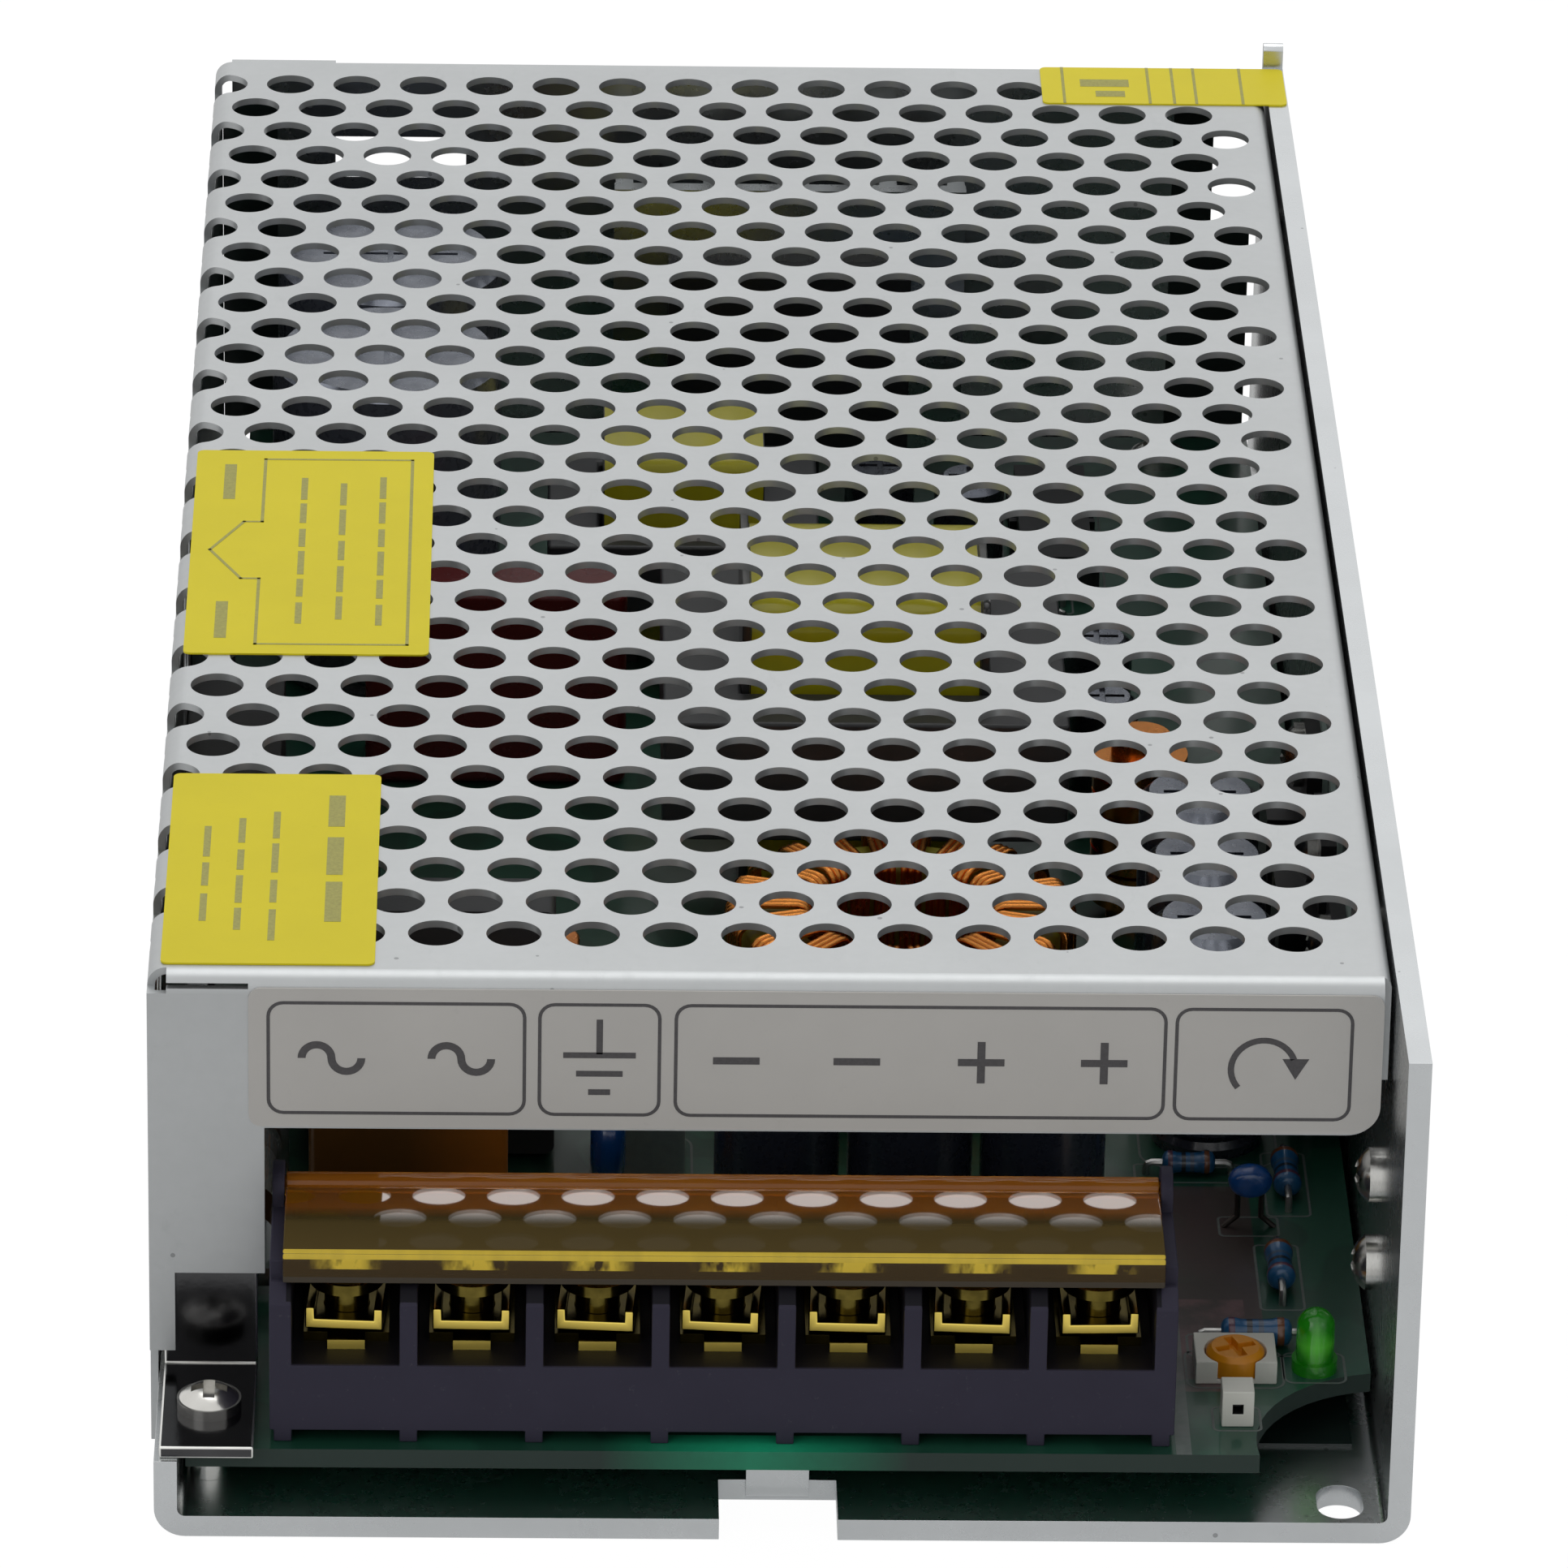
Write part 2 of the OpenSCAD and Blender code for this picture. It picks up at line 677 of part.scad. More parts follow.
module circuit_board() {
    color("darkgreen") difference() {
        block([board_left, board_front, board_z0], [board_right, board_rear, board_z]);
        translate([right - 0.6, front + 4, board_z0 - 1]) cylinder(r = corner_cut_r, h = board_t + 2);
        for (p = concat([earth_screw_at], board_screw_at))
            translate([p[0], p[1], board_z0 - 1]) cylinder(d = board_hole_d, h = board_t + 2);
    }
}

module board_screws() {
    color("silver") for (p = board_screw_at) translate([p[0], p[1], board_z]) pan_screw(board_screw_d - SEAT, board_t + 2.5);
}

module earth_bracket() {
    x0 = lip_out + 0.4;
    color("dimgray") difference() {
        union() {
            block([x0, bracket_front, board_z], [x0 + bracket_w, bracket_rear, board_z + bracket_t]);
            block([x0, bracket_rear - bracket_t, board_z], [x0 + bracket_w, bracket_rear, board_z + bracket_h]);
        }
        translate([earth_screw_at[0], earth_screw_at[1], board_z - 1]) cylinder(d = board_hole_d, h = bracket_t + 2);
    }
}

module earth_screw() {
    color("silver") translate([earth_screw_at[0], earth_screw_at[1], board_z + bracket_t])
        pan_screw(board_screw_d - SEAT, board_t + bracket_t + 2.5);
}

// ------------------------------------------------------------- terminal block

// Side of a barrier, drawn in Y and Z
module barrier_section() {
    translate([barrier_front, bay_z - EPS])
        square([hinge_y - knuckle_d / 2 - 0.4 - barrier_front, barrier_z - bay_z + EPS]);
    translate([barrier_front, bay_z - EPS]) square([block_rear - barrier_front, barrier_z - bay_z - 2.6]);
    // the front runs down to the block's face under the flap's skirt
    skirt_z = flap_z + flap_t - skirt_h;
    polygon([[barrier_front + EPS, bay_z - EPS], [barrier_front + EPS, skirt_z - 0.2],
        [barrier_front - 0.6, skirt_z - 0.2], [block_front, skirt_z - 1.4], [block_front, bay_z - EPS]]);
}

// Ear that carries the flap's pin, drawn in Y and Z
module ear_section() {
    translate([hinge_y - 2, bay_z]) square([4, hinge_z - bay_z]);
    translate([hinge_y, hinge_z]) circle(2);
}

module terminal_block() {
    x0 = block_x - block_half;
    x1 = block_x + block_half;
    color("darkslategray") difference() {
        union() {
            block([x0, block_front, board_z + foot_h], [x1, block_rear, bay_z]);
            // rear wall of the bays
            block([x0, block_rear - 1.6, bay_z - EPS], [x1, block_rear, barrier_z - 3]);
            for (i = [0 : ways]) {
                x = block_x + (i - ways / 2) * way_pitch;
                half = (way_pitch - bay_w) / 2;
                if (i == 0) along_x(x0, x0 + end_wall) barrier_section();
                else if (i == ways) along_x(x1 - end_wall, x1) barrier_section();
                else along_x(x - half, x + half) barrier_section();
                // feet under the barriers
                foot_x = min(max(x, x0 + half), x1 - half);
                block([foot_x - half, block_front, board_z], [foot_x + half, block_front + 2.5, board_z + foot_h + EPS]);
                block([foot_x - half, block_rear - 2.5, board_z], [foot_x + half, block_rear, board_z + foot_h + EPS]);
            }
            along_x(x0, x0 + ear_t) ear_section();
            along_x(x1 - ear_t, x1) ear_section();
        }
        // pin holes in the ears
        for (x = [x0 - 1, x1 - ear_t - 1]) translate([x, hinge_y, hinge_z]) rotate([0, 90, 0])
            cylinder(d = pin_d + 0.1, h = ear_t + 2);
        // seats for the plates and their screws
        for (x = way_x) translate([x, screw_y, bay_z - 4]) cylinder(d = seat_d, h = 5);
    }
}

module terminal_plates() {
    color("goldenrod") for (x = way_x) translate([x, 0, 0]) difference() {
        union() {
            block([-3.3, block_front + 4, bay_z], [3.3, block_rear - 1.7, plate_z]);
            block([-tongue_w / 2, block_front + 2.7, bay_z], [tongue_w / 2, block_front + 4 + EPS, plate_z]);
        }
        translate([0, screw_y, bay_z - 1]) cylinder(d = screw_d, h = plate_t + 2);
    }
}

// Square washer with its sides turned up
module clamp_washers() {
    half = washer_w / 2;
    color("goldenrod") for (x = way_x) translate([x, screw_y, washer_z]) difference() {
        union() {
            block([-half, -half, 0], [half, half, washer_t]);
            for (s = [-1, 1]) translate([s * (half - 0.35), 0, washer_side / 2])
                cube([0.7, washer_w, washer_side], center = true);
        }
        translate([0, 0, -1]) cylinder(d = screw_d, h = washer_t + 2);
    }
}

module terminal_screws() {
    color("goldenrod") for (x = way_x) translate([x, screw_y, head_z])
        pan_screw(screw_d - SEAT, head_z - bay_z + 3.4, screw_head_d, 2);
}

module terminal_cover() {
    x0 = block_x - flap_half;
    x1 = block_x + flap_half;
    front_y = barrier_front - 0.2 - flap_t;
    r = flap_t * 0.95;
    color("goldenrod", 0.6) {
        along_x(x0, x1) {
            translate([front_y + r, flap_z]) square([hinge_y - front_y - r, flap_t]);
            translate([front_y, flap_z + flap_t - skirt_h]) square([flap_t, skirt_h - r]);
            translate([front_y + r, flap_z + flap_t - r]) intersection() {
                circle(r);
                translate([-r, 0]) square(r);
            }
            translate([hinge_y, hinge_z]) circle(d = knuckle_d);
        }
        translate([x0 - ear_t * 0.9, hinge_y, hinge_z]) rotate([0, 90, 0])
            cylinder(d = pin_d, h = x1 - x0 + ear_t * 1.8);
    }
}

// ------------------------------------------------------------- front right corner of the board

module adjuster_body() {
    color("ivory") translate([adjuster_x, adjuster_y, board_z]) difference() {
        block([-adjuster_w / 2, -adjuster_front, 0], [adjuster_w / 2, adjuster_back, adjuster_h]);
        translate([0, 0, adjuster_base]) cylinder(d = rotor_d + 0.3, h = adjuster_h);
        translate([0, 0, -1]) cylinder(d = stub_d + 0.1, h = 3);
    }
}

module adjuster_rotor() {
    color("darkorange") translate([adjuster_x, adjuster_y, board_z + adjuster_base + 0.05]) difference() {
        union() {
            rotate_extrude() polygon([[0, 0], [rotor_d / 2, 0], [rotor_d / 2, rotor_h - 0.4],
                [rotor_d / 2 - 0.4, rotor_h], [0, rotor_h]]);
            translate([0, 0, -adjuster_base]) cylinder(d = stub_d, h = adjuster_base + EPS);
        }
        for (turn = [20, 110]) rotate(turn)
            translate([-1.6, -0.35, rotor_h - 0.7]) cube([3.2, 0.7, 1]);
    }
}

module test_socket() {
    color("ivory") translate([socket_at[0], socket_at[1], board_z + socket_h / 2]) difference() {
        cube([socket_w, socket_w, socket_h], center = true);
        translate([0, -socket_w / 2, 0]) cube([socket_hole, socket_w, socket_hole], center = true);
    }
}

module indicator_led() {
    color("limegreen") translate([led_at[0], led_at[1], board_z]) {
        cylinder(d = led_d + 0.6, h = 1);
        cylinder(d = led_d, h = 3.8);
        translate([0, 0, 3.8]) intersection() {
            sphere(d = led_d);
            translate([0, 0, 1]) cube([led_d + 1, led_d + 1, 2 + 2 * EPS], center = true);
        }
    }
}

// ------------------------------------------------------------- selector switch

module selector_body() {
    x0 = left + cover_t + 0.05;
    color("black") difference() {
        union() {
            block([x0, selector_y - selector_l / 2, selector_z - selector_w / 2],
                  [x0 + selector_d, selector_y + selector_l / 2, selector_z + selector_w / 2]);
            // its leads stand on the board
            for (s = [-1, 0, 1]) block([x0 + selector_d - 2, selector_y + s * 5 - 0.5, board_z],
                [x0 + selector_d - 1.4, selector_y + s * 5 + 0.5, selector_z - selector_w / 2 + EPS]);
        }
        block([x0 - 1, selector_y - window_l / 2, selector_z - window_h / 2],
              [x0 + 3.2, selector_y + window_l / 2, selector_z + window_h / 2]);
    }
}

module selector_slider() {
    x0 = left + 0.2;
    x1 = left + cover_t + 0.05 + 3.15;
    y0 = selector_y - window_l / 2 + 0.2;
    color("firebrick") difference() {
        block([x0, y0, selector_z - window_h / 2 + 0.1], [x1, y0 + slider_l, selector_z + window_h / 2 - 0.1]);
        block([x0 - 1, y0 + slider_l / 2 - 0.6, selector_z - window_h / 2 - 1],
              [x0 + 0.9, y0 + slider_l / 2 + 0.6, selector_z + window_h / 2 + 1]);
    }
}

// ------------------------------------------------------------- input side

module fuse() {
    color("lightcyan") translate([fuse_at[0], fuse_at[1], board_z + fuse_z]) rotate([90, 0, 0]) {
        cylinder(d = 4.6, h = 14, center = true);
        for (s = [-1, 1]) translate([0, 0, s * fuse_cap]) cylinder(d = 5.2, h = 5, center = true);
    }
}

module fuse_clips() {
    color("silver") for (s = [-1, 1]) translate([fuse_at[0], fuse_at[1] + s * fuse_cap, board_z]) difference() {
        translate([-3.1, -2, 0]) cube([6.2, 4, 6.4]);
        translate([0, 0, fuse_z]) rotate([90, 0, 0]) cylinder(d = 5.2, h = 10, center = true);
        translate([-2.2, -3, 4.4]) cube([4.4, 6, 4]);
        translate([-2.4, -3, 0.7]) cube([4.8, 6, 1.6]);
    }
}

module inlet_film_capacitor() {
    color("saddlebrown") translate([inlet_at[0], inlet_at[1], board_z]) linear_extrude(15)
        rounded(15.8, 9, 0.6);
}

module line_choke_core() {
    color("dimgray") translate([line_choke_at[0], line_choke_at[1], board_z + 11.5]) rotate([90, 0, 0])
        linear_extrude(6, center = true) difference() {
            rounded(20, 22, 0.8);
            rounded(11, 12, 0.4);
        }
    color("black") for (s = [-1, 1]) translate([line_choke_at[0] + s * 8, line_choke_at[1], board_z])
        translate([-1.5, -1.5, 0]) cube([3, 3, 0.5 + EPS]);
}

module line_choke_coils() {
    color("chocolate") for (s = [-1, 1], k = [0 : 6])
        translate([line_choke_at[0] + s * 7.75, line_choke_at[1], board_z + 5.8 + k * 1.65]) linear_extrude(1.4) difference() {
            rounded(8.4, 10.4, 1.5);
            square([4.6, 6.1], center = true);
        }
}

module film_capacitor() {
    color("maroon") translate([film_at[0], film_at[1], board_z]) linear_extrude(18.4)
        rounded(22.6, 8, 0.8);
}

module grey_capacitor() {
    color("lightgray") translate([grey_at[0], grey_at[1], board_z]) linear_extrude(14) rounded(7, 7, 0.6);
}

module thermistor() {
    color("darkolivegreen") translate([thermistor_at[0], thermistor_at[1], board_z]) disc_cap(11, 4, 3, 7.5);
}

module bulk_capacitors() {
    color("slategray") for (p = bulk_at) translate([p[0], p[1], board_z]) can(bulk_d, bulk_h);
}

// ------------------------------------------------------------- transformers

// Horizontal core of two halves: legs at the front and rear, backs at the two sides
module core(w, d, h, leg, back, post_w, post_d) {
    linear_extrude(h) difference() {
        square([w, d], center = true);
        for (s = [-1, 1]) translate([0, s * (d / 2 - leg - (d / 2 - leg - post_d / 2) / 2)])
            square([w - 2 * back, d / 2 - leg - post_d / 2], center = true);
    }
}

module main_core() {
    color("dimgray") translate([main_at[0], main_at[1], board_z + 10.6])
        core(main_w, main_d, 11, 6, 6.6, 20, 9);
}

module main_coil() {
    color("gold") translate([main_at[0], main_at[1], 0]) difference() {
        union() {
            translate([0, 0, board_z + 15.8]) rotate([0, 90, 0]) linear_extrude(main_coil_w, center = true)
                rounded(27.2, main_coil_d, 3);
            // flanges and pin rails of the bobbin
            for (s = [-1, 1]) translate([s * (main_coil_w / 2 + 0.35), 0, board_z + 15.8]) rotate([0, 90, 0])
                linear_extrude(0.7, center = true) rounded(28, main_coil_d + 1, 1.5);
            for (s = [-1, 1]) translate([s * (main_coil_w / 2 - 2.3), 0, board_z + 1.5])
                cube([6, main_coil_d - 0.6, 3], center = true);
        }
        translate([0, 0, board_z + 16.1]) cube([main_w + 6, 9.1, 11.1], center = true);
    }
}

module drive_core() {
    color("dimgray") translate([drive_at[0], drive_at[1], board_z + 6.4]) core(drive_w, drive_d, 7, 4, 4.6, 14, 7);
}

module drive_coil() {
    color("gold") translate([drive_at[0], drive_at[1], 0]) difference() {
        union() {
            translate([0, 0, board_z + 10.2]) rotate([0, 90, 0]) linear_extrude(drive_coil_w, center = true)
                rounded(19.4, drive_coil_d, 2);
            for (s = [-1, 1]) translate([s * (drive_coil_w / 2 - 1.3), 0, board_z + 1]) cube([3.6, drive_coil_d - 0.4, 2], center = true);
        }
        translate([0, 0, board_z + 9.9]) cube([drive_w + 6, 7.1, 7.1], center = true);
    }
}

// ------------------------------------------------------------- output side

module choke_core() {
    color("darkkhaki") translate([toroid_at[0], toroid_at[1], board_z + wire_d + 0.1]) difference() {
        cylinder(d = toroid_d - 2 * wire_d - 0.2, h = toroid_h);
        translate([0, 0, -1]) cylinder(d = toroid_in + 2 * wire_d + 0.2, h = toroid_h + 2);
    }
}

module choke_winding() {
    w = (toroid_d - toroid_in) / 2;
    color("chocolate") for (k = [0 : toroid_turns - 1])
        translate([toroid_at[0], toroid_at[1], board_z + wire_d + 0.1 + toroid_h / 2]) rotate(k * 360 / toroid_turns)
            translate([(toroid_d + toroid_in) / 4, 0, 0]) rotate([90, 0, 0]) linear_extrude(wire_d, center = true)
                difference() {
                    rounded(w, toroid_h + 2 * wire_d + 0.1, wire_d);
                    square([w - 2 * wire_d, toroid_h + 0.1], center = true);
                }
}

module rod_choke() {
    color("chocolate") translate([rod_choke_at[0], rod_choke_at[1], board_z]) {
        cylinder(d = 5, h = 17);
        for (k = [0 : 7]) translate([0, 0, 2 + k * 1.7]) cylinder(d = 8, h = 1.4);
    }
}

module output_capacitors() {
    color("darkslategray") for (p = out_caps) translate([p[0], p[1], board_z]) can(out_cap_d, out_cap_h);
}

module small_capacitors() {
    color("black") for (p = small_caps) translate([p[0], p[1], board_z]) can(small_cap_d, small_cap_h);
}

// Puts a small part on the board, turned about the vertical
module placed(at, turn = 0) {
    translate([at[0], at[1], board_z]) rotate(turn) children();
}

module disc_capacitors() {
    color("royalblue") {
        placed(right_front(8.8, 37.3)) disc_cap(3.6, 2, 2.4, 2.2);
        placed(left_front(31.3, 37.5), 90) disc_cap(9, 2.8, 3.1, 6);
        placed([drive_at[0] + 18.9, board_mid + 52.25]) disc_cap(8, 2.8, 3, 5);
        placed([drive_at[0] - 11.1, drive_front - 5.5], 90) disc_cap(8, 2.8, 3, 5);
    }
}

module resistors() {
    color("steelblue") {
        placed(right_front(9.3, 16.6)) axial(5.5, 2.3, 9, 0.6);
        placed(right_front(6.8, 27.8), 90) axial(5.5, 2.3, 9, 0.6);
        placed(right_front(5.4, 43.5), 90) axial(6.3, 2.3, 9, 0.6);
        placed(right_front(13.2, 45.3)) axial(4.6, 1.9, 7, 0.5);
        for (k = [0 : 3]) placed(left_mid(69.5, 46.75 + k * 4)) axial(6.3, 2.3, 9, 0.6);
        placed(left_front(19.5, 25.5)) axial(6.3, 2.3, 9, 0.6);
    }
}

module control_chips() {
    color("black") {
        placed(chips[0]) dual_in_line(20, 6.4, 8);
        placed(chips[1]) dual_in_line(5, 6.4, 2);
    }
}

// Dual in-line package with its pins standing on the board
module dual_in_line(length, w, pins) {
    translate([-w / 2, -length / 2, 0.5]) cube([w, length, 3.4]);
    for (s = [-1, 1], k = [0 : pins - 1])
        translate([s * (w / 2 + 0.35) - 0.35 - 0.01 * s, (k - (pins - 1) / 2) * 2.54 - 0.4, 0]) cube([0.7, 0.8, 2.4]);
}

module rear_heatsink() {
    color("silver") placed(heatsink_at) {
        block([-heatsink_w / 2, 0, 0], [heatsink_w / 2, 1.6, heatsink_h]);
        for (x = [-15.9, -7.9, 0.1, 8.1, 14.3]) block([x, 1.5, 4], [x + 1.6, 5, heatsink_h]);
    }
}

module bridge_rectifier() {
    color("black") placed(heatsink_at) {
        block([-bridge_w / 2, -4, 5], [bridge_w / 2, -SEAT, 22]);
        for (k = [-1.5, -0.5, 0.5, 1.5]) block([k * 5 - 0.5, -2.4, 0], [k * 5 + 0.5, -1.6, 5 + EPS]);
    }
}

module power_devices() {
    color("black") for (y = device_y) translate([wall_in - pad_t, y, board_z])
        power_device(device_h, device_w, device_t, tab_t, device_lift);
}

module thermal_pads() {
    color("mediumaquamarine") for (y = device_y) difference() {
        block([wall_in - pad_t, y - device_w / 2 - pad_edge, board_z + device_lift - 0.6],
              [wall_in, y + device_w / 2 + pad_edge, board_z + device_lift + device_h + pad_edge]);
        translate([wall_in - 2, y, device_screw_z]) rotate([0, 90, 0]) cylinder(d = device_screw_d + 0.2, h = 4);
    }
}

module device_screws() {
    color("silver") for (y = device_y) translate([wall_in - pad_t - tab_t, y, device_screw_z]) rotate([0, -90, 0])
        pan_screw(device_screw_d - SEAT, pad_t + tab_t + chassis_t, 5.5, 2);
}

chassis();
cover();
terminal_label();
selector_sticker();
corner_sticker();
seal_sticker();
cover_screws();
insulating_sheet();
board_standoffs();
circuit_board();
board_screws();
earth_bracket();
earth_screw();
terminal_block();
terminal_plates();
clamp_washers();
terminal_screws();
terminal_cover();
adjuster_body();
adjuster_rotor();
test_socket();
indicator_led();
selector_body();
selector_slider();
wall_screws();
fuse();
fuse_clips();
inlet_film_capacitor();
line_choke_core();
line_choke_coils();
film_capacitor();
grey_capacitor();
thermistor();
bulk_capacitors();
main_core();
main_coil();
drive_core();
drive_coil();
choke_core();
choke_winding();
rod_choke();
output_capacitors();
small_capacitors();
disc_capacitors();
resistors();
control_chips();
rear_heatsink();
bridge_rectifier();
power_devices();
thermal_pads();
device_screws();
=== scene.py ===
import json
import math

import bmesh
import bpy
from mathutils import Matrix, Quaternion, Euler, Vector


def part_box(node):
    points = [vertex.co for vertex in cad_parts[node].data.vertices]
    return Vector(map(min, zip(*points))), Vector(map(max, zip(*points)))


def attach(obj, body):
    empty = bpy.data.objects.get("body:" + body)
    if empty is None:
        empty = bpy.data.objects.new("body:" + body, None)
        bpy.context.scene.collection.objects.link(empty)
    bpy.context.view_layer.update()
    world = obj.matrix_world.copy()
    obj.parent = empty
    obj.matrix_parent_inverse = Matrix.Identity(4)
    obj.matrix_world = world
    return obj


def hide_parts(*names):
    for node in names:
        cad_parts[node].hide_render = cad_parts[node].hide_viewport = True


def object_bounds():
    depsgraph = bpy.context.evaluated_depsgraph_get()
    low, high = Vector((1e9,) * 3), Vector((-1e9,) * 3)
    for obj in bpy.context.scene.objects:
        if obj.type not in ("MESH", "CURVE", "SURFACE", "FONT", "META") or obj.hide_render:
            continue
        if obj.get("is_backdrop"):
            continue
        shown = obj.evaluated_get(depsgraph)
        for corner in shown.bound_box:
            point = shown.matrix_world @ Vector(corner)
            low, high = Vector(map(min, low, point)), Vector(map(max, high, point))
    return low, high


bl_info = {
    "name": "Mesh case switching power supply",
    "version": (1, 0, 0),
    "blender": (4, 5, 0),
    "location": "View3D > Sidebar > Power supply",
    "description": "Finishes and fine pieces of a power supply in a perforated sheet case",
    "category": "Object",
}

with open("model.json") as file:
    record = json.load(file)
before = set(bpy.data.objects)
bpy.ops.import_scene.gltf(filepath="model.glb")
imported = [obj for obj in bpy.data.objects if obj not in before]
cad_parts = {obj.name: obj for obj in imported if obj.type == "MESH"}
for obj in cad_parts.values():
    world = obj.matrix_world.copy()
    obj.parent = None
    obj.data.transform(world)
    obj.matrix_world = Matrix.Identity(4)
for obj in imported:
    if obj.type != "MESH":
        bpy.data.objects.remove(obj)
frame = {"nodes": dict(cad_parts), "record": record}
NODES = frame["nodes"]
SLOT_OF = {part["node"]: part["material_slot"] for part in frame["record"]["subparts"]}
BODY_OF = {node: body for body, nodes in frame["record"]["behaviour"]["bodies"].items() for node in nodes}
CAD_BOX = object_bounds()
MM = 0.001
RIGHT, AHEAD, UP = Vector((1, 0, 0)), Vector((0, 1, 0)), Vector((0, 0, 1))


# ---------------------------------------------------------------- settings

def colour(text, *default):
    """A colour setting with its description."""
    return bpy.props.FloatVectorProperty(
        name=text, description=text, subtype="COLOR", size=3, min=0, max=1, default=default)


def length(text, millimetres):
    """A length setting, given in millimetres and kept in metres."""
    return bpy.props.FloatProperty(
        name=text, description=text, subtype="DISTANCE", unit="LENGTH", min=0, precision=5,
        default=millimetres * MM)


def angle(text, description, degrees):
    """An angle setting, given in degrees and kept in radians."""
    return bpy.props.FloatProperty(
        name=text, description=description, subtype="ANGLE", unit="ROTATION", default=math.radians(degrees))


class SheetSettings(bpy.types.PropertyGroup):
    cover: colour("Colour of the perforated cover", 0.47, 0.485, 0.49)
    chassis: colour("Colour of the chassis", 0.58, 0.60, 0.61)
    screws: colour("Colour of the plated screws", 0.62, 0.61, 0.58)
    edge: length("Rounding of the chassis edges", 0.18)
    mottling: length("Size of the cloudy marks on the sheet", 14)


class PrintSettings(bpy.types.PropertyGroup):
    label: colour("Colour of the terminal label", 0.56, 0.545, 0.52)
    sticker: colour("Colour of the stickers", 0.80, 0.68, 0.018)
    ink: colour("Colour of the label's ink", 0.055, 0.052, 0.055)
    faded: colour("Colour of the stickers' ink", 0.30, 0.28, 0.06)
    line: length("Width of the label's frame lines", 0.27)
    stroke: length("Width of the label's signs", 0.62)
    ink_height: length("Thickness of the ink", 0.02)


class TerminalSettings(bpy.types.PropertyGroup):
    moulding: colour("Colour of the terminal block", 0.038, 0.035, 0.056)
    brass: colour("Colour of the brass", 0.66, 0.51, 0.11)
    amber: colour("Colour of the clear flap", 0.60, 0.40, 0.07)
    glint: colour("Colour of the light caught in the flap's front edge", 0.85, 0.62, 0.08)
    rounding: length("Rounding of the moulded edges", 0.22)


class BoardSettings(bpy.types.PropertyGroup):
    mask: colour("Colour of the board's lacquer", 0.010, 0.060, 0.036)
    copper: colour("Colour of the lacquer over copper", 0.085, 0.046, 0.050)
    legend: colour("Colour of the printed outlines", 0.10, 0.115, 0.11)
    core: colour("Colour of the board's cut edge", 0.014, 0.028, 0.023)
    # painted light: the underside is a lighter green than the lacquer on top, as if lit from below
    under: colour("Colour of the board's underside", 0.02, 0.17, 0.10)


class StageSettings(bpy.types.PropertyGroup):
    floor: colour("Colour of the floor", 0.80, 0.80, 0.80)
    lens: bpy.props.FloatProperty(
        name="Lens", description="Focal length of the camera in millimetres", min=10, max=500,
        default=253.9)
    place: bpy.props.FloatVectorProperty(
        name="Camera", description="Place of the camera", subtype="TRANSLATION", unit="LENGTH", size=3,
        default=Vector((-19.6, -843.0, 429.4)) * MM)
    azimuth: angle("Azimuth", "Turn of the view to the right", 1.46)
    elevation: angle("Elevation", "Angle of the view above the horizon", 26.09)
    roll: angle("Roll", "Turn of the camera about its view", 1.084)
    sky: bpy.props.FloatProperty(
        name="Sky", description="Strength of the light from all round", min=0, max=2, default=0.42)


# ---------------------------------------------------------------- materials

def operation(name, swapped=False):
    """A method that adds a Math node for a wire and another value, in that order or swapped."""
    def method(self, other):
        pair = (other, self) if swapped else (self, other)
        return self.math(name, *pair)
    return method


class Wire:
    """An output socket. Arithmetic on it adds the Math nodes for it."""

    def __init__(self, nodes, socket):
        self.nodes = nodes
        self.socket = socket

    def math(self, name, *values):
        return self.nodes.add("Math", {"operation": name}, dict(enumerate(values)))

    def __abs__(self):
        return self.math("ABSOLUTE", self)

    def __round__(self):
        return self.math("ROUND", self)

    __add__ = operation("ADD")
    __radd__ = operation("ADD", swapped=True)
    __sub__ = operation("SUBTRACT")
    __rsub__ = operation("SUBTRACT", swapped=True)
    __mul__ = operation("MULTIPLY")
    __rmul__ = operation("MULTIPLY", swapped=True)
    __truediv__ = operation("DIVIDE")
    __gt__ = operation("GREATER_THAN")
    __lt__ = operation("LESS_THAN")
    larger = operation("MAXIMUM")
    smaller = operation("MINIMUM")


class Nodes:
    """The nodes of a material or a world, and the one method that adds to them."""

    def __init__(self, tree):
        self.tree = tree

    def add(self, kind, settings=None, sockets=None, output=0):
        """Adds a node of that type: its settings are set first, then its sockets by name or number."""
        node = self.tree.nodes.new("ShaderNode" + kind)
        for key, value in (settings or {}).items():
            if key == "stops":
                stops = node.color_ramp.elements
                for index, (at, tone) in enumerate(value):
                    stop = stops[index] if index < 2 else stops.new(at)
                    stop.position = at
                    stop.color = (tone, tone, tone, 1) if isinstance(tone, (int, float)) else (*tone, 1)
            else:
                setattr(node, key, value)
        for key, value in (sockets or {}).items():
            self.feed(node.inputs[key], value)
        return Wire(self, node.outputs[output])

    def feed(self, socket, value):
        """Links a wire to a socket, or writes a number, a vector or a colour into it."""
        if isinstance(value, Wire):
            self.tree.links.new(value.socket, socket)
        elif socket.type == "RGBA":
            socket.default_value = (*value, 1)
        else:
            socket.default_value = value

    def surface(self, shader, owner="Material"):
        """Makes a shader the surface of the material or the world."""
        self.feed(self.tree.nodes[owner + " Output"].inputs["Surface"], shader)

    def seen(self, mirrored):
        """1 for rays that come from the camera or through glass, and a share for those from a mirror."""
        camera, glossy, glass = (self.add("LightPath", output="Is " + ray + " Ray") for ray in (
            "Camera", "Glossy", "Transmission"))
        return camera.larger(glass).larger(glossy * mirrored)


